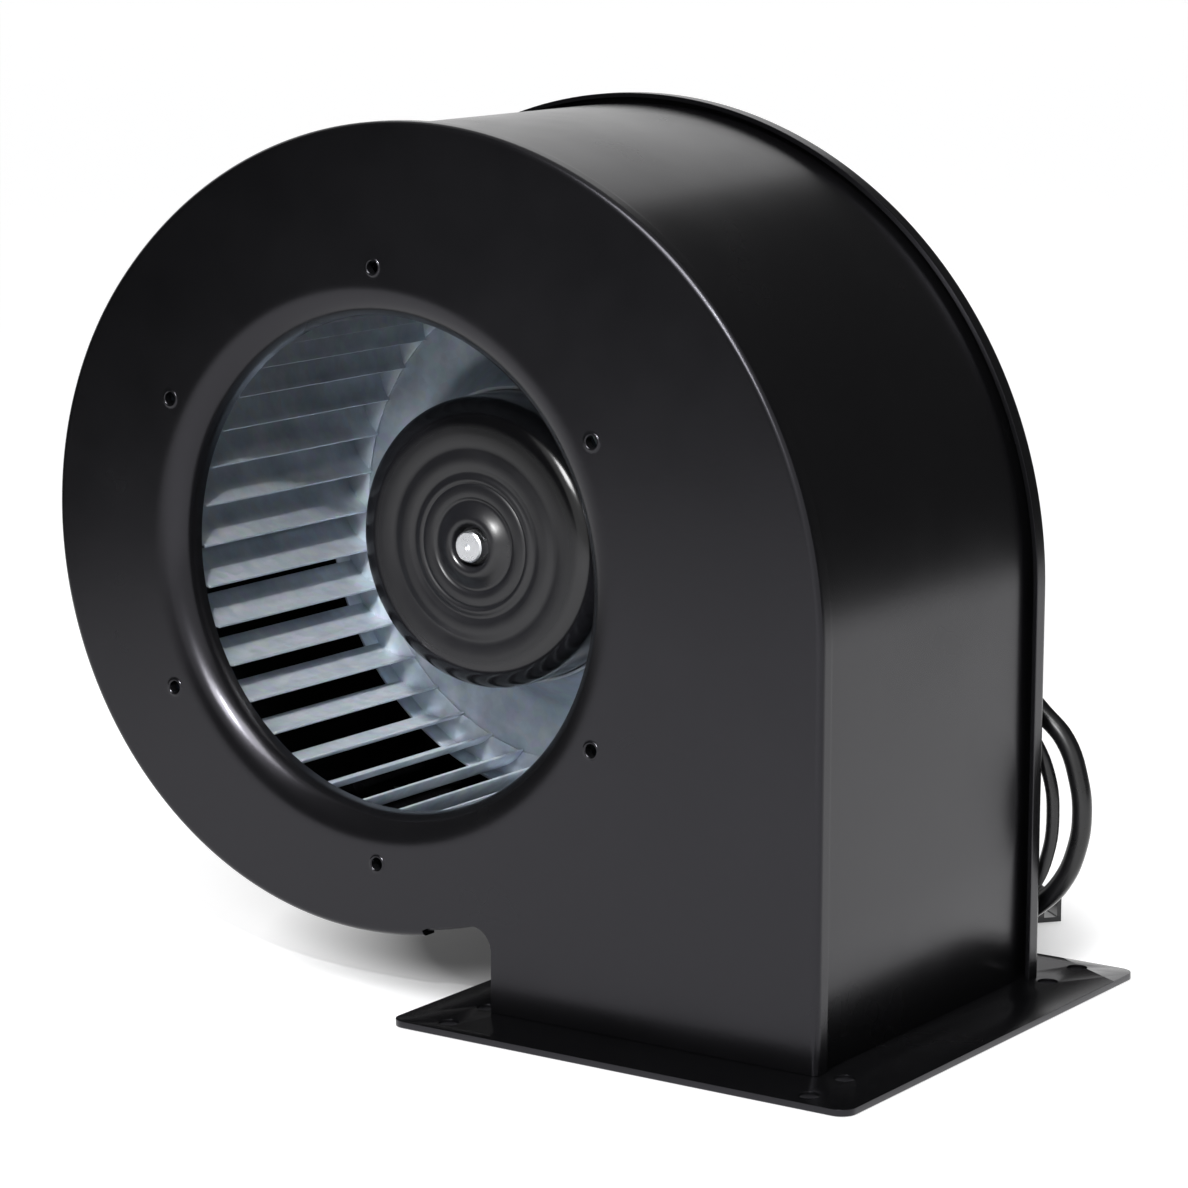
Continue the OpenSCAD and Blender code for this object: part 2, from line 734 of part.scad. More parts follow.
module lead(path, r, sides) {
    rings = len(path);
    points = [for (i = [0:rings - 1]) each ring_at(path, r, sides, i)];
    sides_of = [for (i = [0:rings - 2]) for (k = [0:sides - 1])
        [i*sides + k, (i + 1)*sides + k, (i + 1)*sides + (k + 1)%sides, i*sides + (k + 1)%sides]];
    start_cap = [for (k = [0:sides - 1]) k];
    end_cap = [for (k = [sides - 1:-1:0]) (rings - 1)*sides + k];
    polyhedron(points, concat(sides_of, [start_cap, end_cap]), convexity = 10);
}

module power_lead() {
    color(rubber_black) lead(power_route, power_d/2, 10);
}

module signal_lead() {
    color(rubber_black) lead(signal_route, signal_d/2, 8);
}

// Plug housing that starts at a route's end and points along its last stretch
module connector(path, len, w, h, ways) {
    end = path[len(path) - 1];
    along = end - path[len(path) - 2];
    pitch = w/ways;
    translate([end.x, end.y, h/2 + 0.1]) rotate([0, 0, atan2(along.y, along.x)]) difference() {
        translate([0, -w/2, -h/2]) cube([len, w, h]);
        for (i = [0:ways - 1])
            translate([len - 6, -w/2 + pitch*(i + 0.5), 0]) cube([2*6, 0.6*pitch, 0.6*h], center = true);
    }
}

module power_connector() {
    color([0.12, 0.12, 0.12]) connector(power_route, 22, 15, 8, 2);
}

module signal_connector() {
    color([0.85, 0.84, 0.80]) connector(signal_route, 14, 12, 5.5, 4);
}

front_plate();
scroll_band();
back_plate();
outlet_flange();
impeller_blades();
impeller_hoop();
impeller_disc();
rotor_can();
rotor_magnets();
motor_shaft();
retaining_ring();
preload_washer();
motor_flange();
motor_screws();
front_bearing();
rear_bearing();
stator_core();
stator_windings();
slot_insulators();
control_board();
electronics_cover();
cover_screws();
cable_gland();
power_lead();
power_connector();
signal_lead();
signal_connector();
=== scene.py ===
# %% [markdown]
# # A DC blower, dressed for a render
# The blower is a rolled sheet-steel scroll on a bolt-down flange. A drum of forward-curved blades
# on an external-rotor motor turns inside it. The CAD frame gives every piece its place; here the
# visible sheet parts are modelled again with the roundness that a press and a roller leave.

# %% Load the frame
import bpy
import math
from mathutils import Matrix, Vector


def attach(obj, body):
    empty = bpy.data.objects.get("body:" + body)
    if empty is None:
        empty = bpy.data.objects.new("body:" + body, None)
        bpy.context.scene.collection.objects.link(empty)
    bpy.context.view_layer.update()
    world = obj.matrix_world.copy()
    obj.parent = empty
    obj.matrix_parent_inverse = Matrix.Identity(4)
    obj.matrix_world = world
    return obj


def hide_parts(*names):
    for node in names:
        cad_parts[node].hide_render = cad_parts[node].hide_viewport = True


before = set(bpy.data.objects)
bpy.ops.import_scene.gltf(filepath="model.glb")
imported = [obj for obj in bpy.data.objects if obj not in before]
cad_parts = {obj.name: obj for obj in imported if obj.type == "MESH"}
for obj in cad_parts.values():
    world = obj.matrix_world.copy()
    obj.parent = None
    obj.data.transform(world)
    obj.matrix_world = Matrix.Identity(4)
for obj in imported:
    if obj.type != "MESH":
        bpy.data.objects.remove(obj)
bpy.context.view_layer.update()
MM = 0.001

# %% [markdown]
# ## Camera
# A long lens from the inlet's right side shows the bell mouth, the rolled band and the flange
# together. The camera's matrix is built from its heading, tilt and roll.

# %% Camera
yaw, pitch, roll = (math.radians(a) for a in (34.337, 10.646, 0.109))
ahead = Vector((-math.sin(yaw) * math.cos(pitch), math.cos(yaw) * math.cos(pitch), -math.sin(pitch)))
level = Vector((math.cos(yaw), math.sin(yaw), 0))
upright = level.cross(ahead)
right = math.cos(roll) * level + math.sin(roll) * upright
up = -math.sin(roll) * level + math.cos(roll) * upright
bpy.ops.object.camera_add(location=(0, 0, 0))
camera = bpy.context.object
camera.matrix_world = Matrix((right, up, -ahead)).transposed().to_4x4()
camera.location = (0.65406, -1.05448, 0.36053)
camera.data.sensor_width = 36
camera.data.lens = 126.18
camera.data.clip_end = 30
bpy.context.scene.camera = camera
bpy.context.scene.view_settings.view_transform = "Standard"
print("camera at", [round(v, 3) for v in camera.location])

# %% [markdown]
# ## Leads
# Two round leads leave the motor's rubber outlet, hang down behind the duct and lie on the floor
# behind the scroll. Each is one smooth curve with a round bevel, because a lead is the same
# thickness all along, and is then made a mesh. A copy without the bevel is made a mesh with it
# and then removed. The route's points are the CAD's own, in millimetres.

# %% Leads
POWER_ROUTE = [(-47, 73, 129), (-27, 74, 124.5), (-7, 75, 118.5), (12, 76, 110.5), (27, 76, 102.5),
    (41, 76, 93), (52, 76, 83.5), (60, 76, 76), (65, 76, 64), (66.5, 76, 53), (65, 76, 42), (60, 76, 30.5),
    (52, 76, 22), (40, 76.2, 14.5), (27, 77, 9.5), (13, 79, 6.5), (-1, 82, 5.3), (-15, 87, 5.3),
    (-27, 95, 5.3), (-38, 106, 4), (-47, 119, 3.3), (-51, 134, 3.3), (-46, 148, 3.3), (-33, 156, 3.3),
    (-18, 157, 3.3), (-4, 152, 3.3), (8, 142, 3.3)]
SIGNAL_ROUTE = [(-49, 73, 117), (-30, 72, 113), (-10, 71, 108.5), (10, 70, 103), (27, 69.6, 97), (41, 69.6, 88),
    (52, 69.6, 77), (58, 69.6, 65.5), (59.7, 69.6, 53.5), (58, 69.6, 40), (53, 69.6, 29), (44, 69.6, 19.5),
    (31, 69.6, 11.5), (16, 69.8, 7), (0, 70.5, 4.8), (-16, 72, 4.2), (-32, 76, 4.2), (-46, 83, 4.2),
    (-58, 93, 3.2), (-67, 106, 2.2), (-72, 120, 2.2), (-74, 135, 2.2), (-76, 150, 2.2), (-84, 162, 2.2),
    (-97, 167, 2.2)]


def lay_lead(name, route, diameter):
    curve = bpy.data.curves.new(name, "CURVE")
    curve.dimensions = "3D"
    curve.bevel_depth = diameter / 2
    curve.bevel_resolution = 5
    curve.resolution_u = 5
    spline = curve.splines.new("BEZIER")
    spline.bezier_points.add(len(route) - 1)
    for point, place in zip(spline.bezier_points, route):
        point.co = Vector(place) * MM
        point.handle_left_type = point.handle_right_type = "AUTO"
    lead = bpy.data.objects.new(name, curve)
    bpy.context.scene.collection.objects.link(lead)
    thread = lead.copy()
    thread.data = curve.copy()
    thread.data.bevel_depth = 0
    bpy.context.scene.collection.objects.link(thread)
    bpy.ops.object.select_all(action="DESELECT")
    for o in (thread, lead):
        o.select_set(True)
        bpy.context.view_layer.objects.active = o
    bpy.ops.object.convert(target="MESH")
    bpy.data.objects.remove(thread)
    for f in lead.data.polygons:
        f.use_smooth = True
    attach(lead, "housing")
    return lead


power_lead = lay_lead("power_lead_sheathed", POWER_ROUTE, 6.4 * MM)
signal_lead = lay_lead("signal_lead_sheathed", SIGNAL_ROUTE, 4.2 * MM)
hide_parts("power_lead")
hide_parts("signal_lead")

# %% [markdown]
# ## A bench to model on
# Every sheet and turned part is drawn lying on its back, with the impeller's axis at the origin
# and +Z towards the inlet, because sections and spins are easy to think of that way. A section
# starts as one vertex that is extruded from point to point. `stand_up` turns the finished piece
# into the blower's frame and applies the turn, so its object stays at the origin.

# %% Bench
AXIS = Vector((-102.2, 0, 134.2)) * MM
STAND_UP = Matrix.Translation(AXIS) @ Matrix.Rotation(math.radians(90), 4, "X")


def start_section(name, point):
    bpy.ops.object.select_all(action="DESELECT")
    bpy.ops.mesh.primitive_plane_add(size=MM, location=(0, 0, 0))
    piece = bpy.context.object
    piece.name = piece.data.name = name
    bpy.ops.object.mode_set(mode="EDIT")
    bpy.ops.mesh.select_mode(type="VERT")
    bpy.ops.mesh.select_all(action="SELECT")
    bpy.ops.mesh.merge(type="CENTER")
    bpy.ops.transform.translate(value=Vector(point) * MM)
    return piece


def draw_on(points):
    for a, b in zip(points, points[1:]):
        bpy.ops.mesh.extrude_region_move(TRANSFORM_OT_translate={"value": (Vector(b) - Vector(a)) * MM})


def sweep(centre, degrees, step=1.5):
    """Spins what is selected anticlockwise about an upright axis through a centre, in millimetres."""
    steps = max(2, round(abs(degrees) / step))
    bpy.ops.mesh.spin(steps=steps, angle=-math.radians(degrees), center=Vector((*centre, 0)) * MM,
                      axis=(0, 0, 1), use_auto_merge=False)


def select_where(piece, edges=None, verts=None, faces=None):
    """Selects edges, vertices or faces that pass a test of their middle (in millimetres) and themselves."""
    bpy.ops.object.mode_set(mode="OBJECT")
    mesh = piece.data
    for group in (mesh.vertices, mesh.edges, mesh.polygons):
        group.foreach_set("select", [False] * len(group))
    if verts:
        for v in mesh.vertices:
            v.select = verts(v.co / MM)
    if edges:
        users = {}
        for f in mesh.polygons:
            for key in f.edge_keys:
                users[key] = users.get(key, 0) + 1
        for e in mesh.edges:
            a, b = (mesh.vertices[i].co / MM for i in e.vertices)
            e.select = edges(a, b, users.get(tuple(sorted(e.vertices)), 0))
    if faces:
        for f in mesh.polygons:
            f.select = faces(f.center / MM, f.normal)
    bpy.ops.object.mode_set(mode="EDIT")
    bpy.ops.mesh.select_mode(type="VERT" if verts else "EDGE" if edges else "FACE")


def only(piece):
    if bpy.context.object and bpy.context.object.mode != "OBJECT":
        bpy.ops.object.mode_set(mode="OBJECT")
    bpy.ops.object.select_all(action="DESELECT")
    piece.select_set(True)
    bpy.context.view_layer.objects.active = piece


def tidy_mesh(piece, facing=None):
    """Merges doubles and turns the faces out. `facing` is a point and the way its nearest face should look."""
    only(piece)
    bpy.ops.object.mode_set(mode="EDIT")
    bpy.ops.mesh.select_all(action="SELECT")
    bpy.ops.mesh.remove_doubles(threshold=0.002 * MM)
    bpy.ops.mesh.normals_make_consistent(inside=False)
    bpy.ops.object.mode_set(mode="OBJECT")
    if facing:
        place, way = Vector(facing[0]) * MM, Vector(facing[1])
        nearest = min(piece.data.polygons, key=lambda f: (f.center - place).length)
        if nearest.normal.dot(way) < 0:
            bpy.ops.object.mode_set(mode="EDIT")
            bpy.ops.mesh.select_all(action="SELECT")
            bpy.ops.mesh.flip_normals()
            bpy.ops.object.mode_set(mode="OBJECT")


def apply_modifier(piece, kind, **settings):
    only(piece)
    made = piece.modifiers.new(kind.lower(), kind)
    for name, value in settings.items():
        setattr(made, name, value)
    bpy.ops.object.modifier_apply(modifier=made.name)


def join(first, others):
    only(first)
    for other in others:
        other.select_set(True)
    bpy.ops.object.join()


def copies_round(pattern, first, count):
    """Copies a piece round the axis, each copy with its own mesh, and takes the pattern away."""
    copies = []
    for i in range(count):
        one = pattern.copy()
        one.data = pattern.data.copy()
        one.data.transform(Matrix.Rotation(math.radians(first + i * 360 / count), 4, "Z"))
        bpy.context.scene.collection.objects.link(one)
        copies.append(one)
    bpy.data.objects.remove(pattern)
    return copies


def soften(piece, width=0.2, segments=2, angle=40):
    """Breaks the sharp edges, as paint and tumbling do, and shades the rest smooth."""
    apply_modifier(piece, "BEVEL", width=width * MM, segments=segments, limit_method="ANGLE",
                   angle_limit=math.radians(angle), use_clamp_overlap=True, harden_normals=False)
    only(piece)
    bpy.ops.object.shade_smooth_by_angle(angle=math.radians(32))


def stand_up(piece, body, *nodes):
    only(piece)
    piece.matrix_world = STAND_UP
    bpy.ops.object.transform_apply(location=True, rotation=True, scale=True)
    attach(piece, body)
    for n in nodes:
        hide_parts(n)
    print(piece.name, "faces:", len(piece.data.polygons))


def turned(name, profile, steps=160, facing=None):
    """A round part: its section, drawn in radius and height, spun once round the axis."""
    piece = start_section(name, (profile[0][0], 0, profile[0][1]))
    draw_on([(r, 0, z) for r, z in profile])
    bpy.ops.mesh.select_all(action="SELECT")
    bpy.ops.mesh.spin(steps=steps, angle=math.tau, center=(0, 0, 0), axis=(0, 0, 1), use_auto_merge=True)
    tidy_mesh(piece, facing)
    return piece


# %% [markdown]
# ## The scroll's outline
# A scroll grows by arcs that run into each other without a corner. The right wall of the duct
# rises into the crown's arc, the heel's arc carries it down on the left, and the toe's arc brings
# it to the cut-off, a small hollow curve where the sheet turns down into the duct's left wall.

# %% Outline
SHEET = 1.5
FRONT, BACK, FOOT = 65.5, -65.5, 2 - 134.2
DUCT_RIGHT, DUCT_LEFT = 157.1, 42.1
CROWN_TO, HEEL_TO, RIM_END = 141, 270, 279
HEEL, HEEL_R, TOE_R, CUTOFF_R = Vector((-6, 6.3)), 119, 149, 6.5
WALL_STOP, FOOT_STOP = -88.2, 132.2  # where fields of the plates meet on the duct's wall and foot


def toward(degrees):
    return Vector((math.cos(math.radians(degrees)), math.sin(math.radians(degrees))))


CROWN_R = (DUCT_RIGHT - HEEL.x - HEEL_R * math.cos(math.radians(CROWN_TO))) / (1 - math.cos(math.radians(CROWN_TO)))
CROWN = HEEL + (HEEL_R - CROWN_R) * toward(CROWN_TO)
TOE = HEEL + (HEEL_R - TOE_R) * toward(HEEL_TO)
CUTOFF_X = DUCT_LEFT - CUTOFF_R
CUTOFF = Vector((CUTOFF_X, TOE.y - math.sqrt((TOE_R + CUTOFF_R) ** 2 - (CUTOFF_X - TOE.x) ** 2)))
TOE_TO = 360 + math.degrees(math.atan2(CUTOFF.y - TOE.y, CUTOFF.x - TOE.x))
print("crown", [round(v, 1) for v in CROWN], round(CROWN_R, 1), "cut-off", [round(v, 1) for v in CUTOFF])


def sweep_round_scroll(to=RIM_END):
    """Takes the selected section up the duct's right wall and round the arcs."""
    bpy.ops.mesh.select_all(action="SELECT")
    for low, high in ((FOOT, WALL_STOP), (WALL_STOP, CROWN.y)):
        bpy.ops.mesh.extrude_region_move(TRANSFORM_OT_translate={"value": (0, (high - low) * MM, 0)})
    sweep(CROWN, CROWN_TO)
    sweep(HEEL, HEEL_TO - CROWN_TO)
    sweep(TOE, to - HEEL_TO)


# %% [markdown]
# ## Scroll band
# The band is one strip of steel, rolled round the outline. Its section is a straight line along
# the blower's depth, so the strip is drawn as that line and swept. Solidify then gives the sheet
# its wall on the inside, which keeps the outside exactly on the outline.

# %% Band
band = start_section("scroll_band_sheet", (DUCT_RIGHT, FOOT, BACK + SHEET))
draw_on([(DUCT_RIGHT, FOOT, z) for z in (BACK + SHEET, -62, -30, 0, 30, 61, FRONT - 2)])
sweep_round_scroll(TOE_TO)
sweep(CUTOFF, -(TOE_TO - 180), step=8)
bpy.ops.mesh.extrude_region_move(TRANSFORM_OT_translate={"value": (0, (FOOT - CUTOFF.y) * MM, 0)})
tidy_mesh(band, ((DUCT_RIGHT, -60, 0), (1, 0, 0)))
apply_modifier(band, "SOLIDIFY", thickness=SHEET * MM, offset=-1)
soften(band, 0.25)
stand_up(band, "housing", "scroll_band")

# %% [markdown]
# ## Front plate
# The plate is stamped: its edge is folded back over the band, the inlet is drawn into a bell
# mouth, and six holes for a guard are pierced with a raised rim. The fold is a section swept round
# the scroll. The mouth and the hole's rim are turned once. The flat between all these loops is
# filled at the end, so that the sheet is one piece.

# %% Front rim
BEND, RIM_DEPTH, REACH = 2, 6, 1.6


def rim_points(face, depth, reach, sign):
    """Section of a folded rim from its free edge to the flat of the plate."""
    outer = DUCT_RIGHT + reach
    leg = [(outer, face - sign * h) for h in (depth, depth - 0.8, (depth + BEND) / 2, BEND + 0.4)]
    bend = [(outer - BEND + BEND * math.cos(math.radians(a)), face - sign * (BEND - BEND * math.sin(math.radians(a))))
            for a in range(0, 91, 15)]
    flat = [(outer - BEND - inset, face) for inset in (0.5, 4)]
    return [(x, FOOT, z) for x, z in leg + bend + flat]


def open_outline(offset, z):
    """The plate's edge where it has no rim: from the rim's end past the cut-off down to the foot."""
    points = [TOE + (TOE_R + offset) * toward(a) for a in (RIM_END + 0.6, 281.5, 283.5, TOE_TO)]
    points += [CUTOFF + (CUTOFF_R - offset) * toward(TOE_TO - 180 - t) for t in range(8, int(TOE_TO - 180), 8)]
    points += [Vector((DUCT_LEFT - offset, CUTOFF.y)), Vector((DUCT_LEFT - offset, FOOT))]
    return [(p.x, p.y, z) for p in points]


def side_plate(name, face, depth, reach, sign):
    """Rim and open edge of one side plate, ready to be filled."""
    section = rim_points(face, depth, reach, sign)
    plate = start_section(name, section[0])
    draw_on(section)
    sweep_round_scroll()
    turn = TOE + (TOE_R + reach - BEND) * toward(RIM_END)
    select_where(plate, verts=lambda v: (v - Vector((turn.x, turn.y, face))).length < 0.01)
    edge = open_outline(-0.9, face)
    draw_on([(turn.x, turn.y, face)] + edge + [(FOOT_STOP, FOOT, face), (DUCT_RIGHT + reach - BEND - 4, FOOT, face)])
    bpy.ops.object.mode_set(mode="OBJECT")
    print(name, "open points:", len(edge))
    return plate


front_plate = side_plate("front_plate_sheet", FRONT, RIM_DEPTH, REACH, 1)

# %% [markdown]
# ### Bell mouth and guard holes
# A mouth with a round lip lets the air turn into the impeller without tearing off. Both the mouth
# and the raised rim of a guard hole are round, so each is a profile spun once. One rim is copied
# six times round the axis, and all are joined to the plate.

# %% Bell mouth and guard holes
LIP_R, LIP_END, MOUTH_WIDE, MOUTH_STEPS = 76.7, FRONT - 11, 11.3, 24
MOUTH_R = LIP_R + MOUTH_WIDE + 0.3  # where the flat begins
# The metal leaves the flat slowly and turns faster towards the lip, as it does over a draw die.
slopes = [math.radians(90) * ((i + 0.5) / MOUTH_STEPS) ** 1.5 for i in range(MOUTH_STEPS)]
length = MOUTH_WIDE / sum(math.cos(t) for t in slopes)
r, z = LIP_R + MOUTH_WIDE, FRONT
mouth_profile = [(MOUTH_R, FRONT), (r, FRONT)]
for t in slopes:
    r, z = r - length * math.cos(t), z - length * math.sin(t)
    mouth_profile.append((r, z))
print("mouth depth, mm:", round(FRONT - z, 1))
mouth_profile += [(LIP_R, z - 0.5), (LIP_R, LIP_END)]
mouth = turned("bell_mouth", mouth_profile, steps=180)

GUARD_CIRCLE, GUARD_FIRST, GUARD_HOLES, COLLAR_R = 92, 30, 6, 3.5
collar_profile = [(COLLAR_R, FRONT), (3.2, FRONT), (2.9, FRONT + 0.05), (2.75, FRONT + 0.2), (2.5, FRONT + 0.3),
                  (2.2, FRONT + 0.25), (2.0, FRONT + 0.05), (2.0, FRONT - 1.5), (2.0, FRONT - 3)]
collar = turned("guard_hole_rim", collar_profile, steps=28)
collar.data.transform(Matrix.Translation((GUARD_CIRCLE * MM, 0, 0)))
collars = copies_round(collar, GUARD_FIRST, GUARD_HOLES)
join(front_plate, [mouth] + collars)
print("guard holes:", len(collars))


# %% [markdown]
# ### The flat between
# One face with many openings shades and fills badly. Straight cuts from the round opening through
# each hole to the edge leave simple fields, and each field is closed by one face and then split
# into triangles. Solidify gives the sheet its wall.

# %% Fill the flat of the plate
def fill_flat(plate, face, reach, hub_r, hole_at, hole_r, first, count):
    """Fills the plate's face. Cuts from the round opening through each hole part it into simple fields."""
    only(plate)
    bpy.ops.object.mode_set(mode="EDIT")
    bpy.ops.mesh.select_all(action="SELECT")
    bpy.ops.mesh.remove_doubles(threshold=0.005 * MM)
    inner = DUCT_RIGHT + reach - BEND - 4
    beyond = hole_at + hole_r + 5

    def open_edge(a, b, users):
        in_face = abs(a.z - face) < 0.01 and abs(b.z - face) < 0.01
        under_rim = min(a.x, b.x) > inner - 0.01 and max(a.y, b.y) < FOOT + 0.01
        return users < 2 and in_face and not under_rim

    def heading(v):
        return math.degrees(math.atan2(v.y, v.x)) % 360

    select_where(plate, edges=open_edge)
    bpy.ops.object.mode_set(mode="OBJECT")
    rim = [v.co / MM for v in plate.data.vertices if v.select]
    cuts = []
    for k in range(count):
        way = first + k * 360 / count
        rings = [(r - 0.1, r + 0.1) for r in (hub_r, hole_at - hole_r, hole_at + hole_r)] + [(beyond, 400)]
        row = [min((v for v in rim if low < v.xy.length < high),
                   key=lambda v: abs((heading(v) - way + 180) % 360 - 180)) for low, high in rings]
        cuts.append(row)
        for a, b in (row[:2], row[2:]):
            select_where(plate, verts=lambda v: min((v - a).length, (v - b).length) < 0.01)
            bpy.ops.mesh.edge_face_add()
    for low, high in zip(cuts, cuts[1:] + cuts[:1]):
        def in_field(a, b, users):
            for row in (low, high):
                for c, d in (row[:2], row[2:]):
                    if min((a - c).length + (b - d).length, (a - d).length + (b - c).length) < 0.02:
                        return True
            middle = (a + b) / 2
            at = 3 if middle.xy.length > beyond else 0
            begin = heading(low[at])
            return open_edge(a, b, users) and (heading(middle) - begin) % 360 < (heading(high[at]) - begin) % 360

        select_where(plate, edges=in_field)
        bpy.ops.mesh.edge_face_add()
        bpy.ops.mesh.quads_convert_to_tris(quad_method="BEAUTY", ngon_method="BEAUTY")
    bpy.ops.object.mode_set(mode="OBJECT")
    area = sum(f.area for f in plate.data.polygons if abs(f.center.z / MM - face) < 0.01)
    print(plate.name, "flat, cm2:", round(area * 1e4))


fill_flat(front_plate, FRONT, REACH, MOUTH_R, GUARD_CIRCLE, COLLAR_R, GUARD_FIRST, GUARD_HOLES)
tidy_mesh(front_plate, ((0, -105, FRONT), (0, 0, 1)))
apply_modifier(front_plate, "SOLIDIFY", thickness=SHEET * MM, offset=-1)
soften(front_plate, 0.2, angle=50)
# Weighted normals keep the flat flat where long thin faces meet the curves.
apply_modifier(front_plate, "WEIGHTED_NORMAL", weight=50, keep_sharp=True)
stand_up(front_plate, "housing", "front_plate")

# %% [markdown]
# ## Back plate
# The back plate carries the motor. Its rim is folded forward and stands off the band, which
# leaves the open groove that runs round the scroll. It is made as the front plate is, with one
# round opening for the motor's cup and four screw holes.

# %% Back plate
BACK_REACH, BACK_RIM = 3.3, 6.5
CUP_HOLE_R, SCREW_CIRCLE, SCREW_HOLE_R, SCREW_FIRST, SCREWS = 34.3, 39, 2.3, 45, 4
back_plate = side_plate("back_plate_sheet", BACK, BACK_RIM, BACK_REACH, -1)
only(back_plate)
bpy.ops.object.mode_set(mode="EDIT")
bpy.ops.mesh.primitive_circle_add(vertices=128, radius=CUP_HOLE_R * MM, location=(0, 0, BACK * MM))
for i in range(SCREWS):
    spot = SCREW_CIRCLE * toward(SCREW_FIRST + i * 360 / SCREWS)
    bpy.ops.mesh.primitive_circle_add(vertices=32, radius=SCREW_HOLE_R * MM,
                                      location=Vector((spot.x, spot.y, BACK)) * MM)
bpy.ops.object.mode_set(mode="OBJECT")
fill_flat(back_plate, BACK, BACK_REACH, CUP_HOLE_R, SCREW_CIRCLE, SCREW_HOLE_R, SCREW_FIRST, SCREWS)
tidy_mesh(back_plate, ((0, -105, BACK), (0, 0, -1)))
apply_modifier(back_plate, "SOLIDIFY", thickness=SHEET * MM, offset=-1)
soften(back_plate, 0.2, angle=50)
apply_modifier(back_plate, "WEIGHTED_NORMAL", weight=50, keep_sharp=True)
stand_up(back_plate, "housing", "back_plate")

# %% [markdown]
# ## Outlet flange
# The base plate is laser-cut: round corners, eight bolt holes and the duct's opening. It is drawn
# as flat loops that are filled together, then thickened. Its four lips stand inside the duct.
# The flange lies flat, so it is modelled straight in the blower's frame.

# %% Flange plate
FLANGE_W, FLANGE_D, FLANGE_T, DUCT_SHIFT = 161, 177, 2, 2.6
BOLT_X, BOLT_ROWS, BOLT_HOLE_R = 63.5, (-81, -61.5, 61.5, 81), 3.2
OPENING_W, OPENING_D, LIPS_W, LIPS_D = 108.8, 124.8, 111.8, 127.8
bpy.ops.object.select_all(action="DESELECT")
bpy.ops.mesh.primitive_plane_add(size=MM, location=(0, 0, FLANGE_T * MM))
flange = bpy.context.object
flange.name = flange.data.name = "outlet_flange_plate"
bpy.ops.object.mode_set(mode="EDIT")
bpy.ops.mesh.select_mode(type="VERT")
bpy.ops.mesh.select_all(action="SELECT")
bpy.ops.transform.resize(value=(FLANGE_W, FLANGE_D, 1))
bpy.ops.mesh.bevel(offset=5 * MM, segments=10, affect="VERTICES")
bpy.ops.mesh.delete(type="ONLY_FACE")
for x in (-BOLT_X, BOLT_X):
    for y in BOLT_ROWS:
        bpy.ops.mesh.primitive_circle_add(vertices=40, radius=BOLT_HOLE_R * MM,
                                          location=(x * MM, y * MM, FLANGE_T * MM))
bpy.ops.mesh.select_all(action="DESELECT")
bpy.ops.mesh.primitive_plane_add(size=MM, location=(-DUCT_SHIFT * MM, 0, FLANGE_T * MM))
bpy.ops.transform.resize(value=(OPENING_W, OPENING_D, 1), center_override=(-DUCT_SHIFT * MM, 0, FLANGE_T * MM))
bpy.ops.mesh.bevel(offset=2 * MM, segments=5, affect="VERTICES")
bpy.ops.mesh.delete(type="ONLY_FACE")
bpy.ops.mesh.select_all(action="SELECT")
bpy.ops.mesh.fill(use_beauty=True)
bpy.ops.object.mode_set(mode="OBJECT")
tidy_mesh(flange, ((70, 0, FLANGE_T), (0, 0, 1)))
apply_modifier(flange, "SOLIDIFY", thickness=FLANGE_T * MM, offset=-1)
soften(flange, 0.35, segments=3)
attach(flange, "housing")
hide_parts("outlet_flange")
print("flange faces:", len(flange.data.polygons))

# %% [markdown]
# ### Lips inside the duct
# The plate is welded to the duct by lips that stand up along its opening. They are one loop with
# round corners, extruded upwards and thickened inwards.

# %% Flange lips
bpy.ops.object.select_all(action="DESELECT")
bpy.ops.mesh.primitive_plane_add(size=MM, location=(-DUCT_SHIFT * MM, 0, 0.5 * MM))
lips = bpy.context.object
lips.name = lips.data.name = "outlet_flange_lips"
bpy.ops.object.mode_set(mode="EDIT")
bpy.ops.mesh.select_all(action="SELECT")
bpy.ops.transform.resize(value=(LIPS_W, LIPS_D, 1), center_override=(-DUCT_SHIFT * MM, 0, 0))
bpy.ops.mesh.bevel(offset=3 * MM, segments=6, affect="VERTICES")
bpy.ops.mesh.delete(type="ONLY_FACE")
bpy.ops.mesh.select_all(action="SELECT")
bpy.ops.mesh.extrude_region_move(TRANSFORM_OT_translate={"value": (0, 0, 13.5 * MM)})
bpy.ops.object.mode_set(mode="OBJECT")
bpy.ops.object.transform_apply(location=True, rotation=True, scale=True)
tidy_mesh(lips, ((53.3, 0, 7), (1, 0, 0)))
apply_modifier(lips, "SOLIDIFY", thickness=SHEET * MM, offset=-1)
soften(lips, 0.3)
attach(lips, "housing")
print("lips faces:", len(lips.data.polygons))

# %% [markdown]
# ## Blade strip
# The drum is one galvanised strip. Windows are slotted into it, their flaps are bent in as
# forward-curved blades, and the strip is rolled up. One blade is an arc drawn with spin and
# extruded along the drum; it is copied round the axis, and the strip's two uncut rims join it.

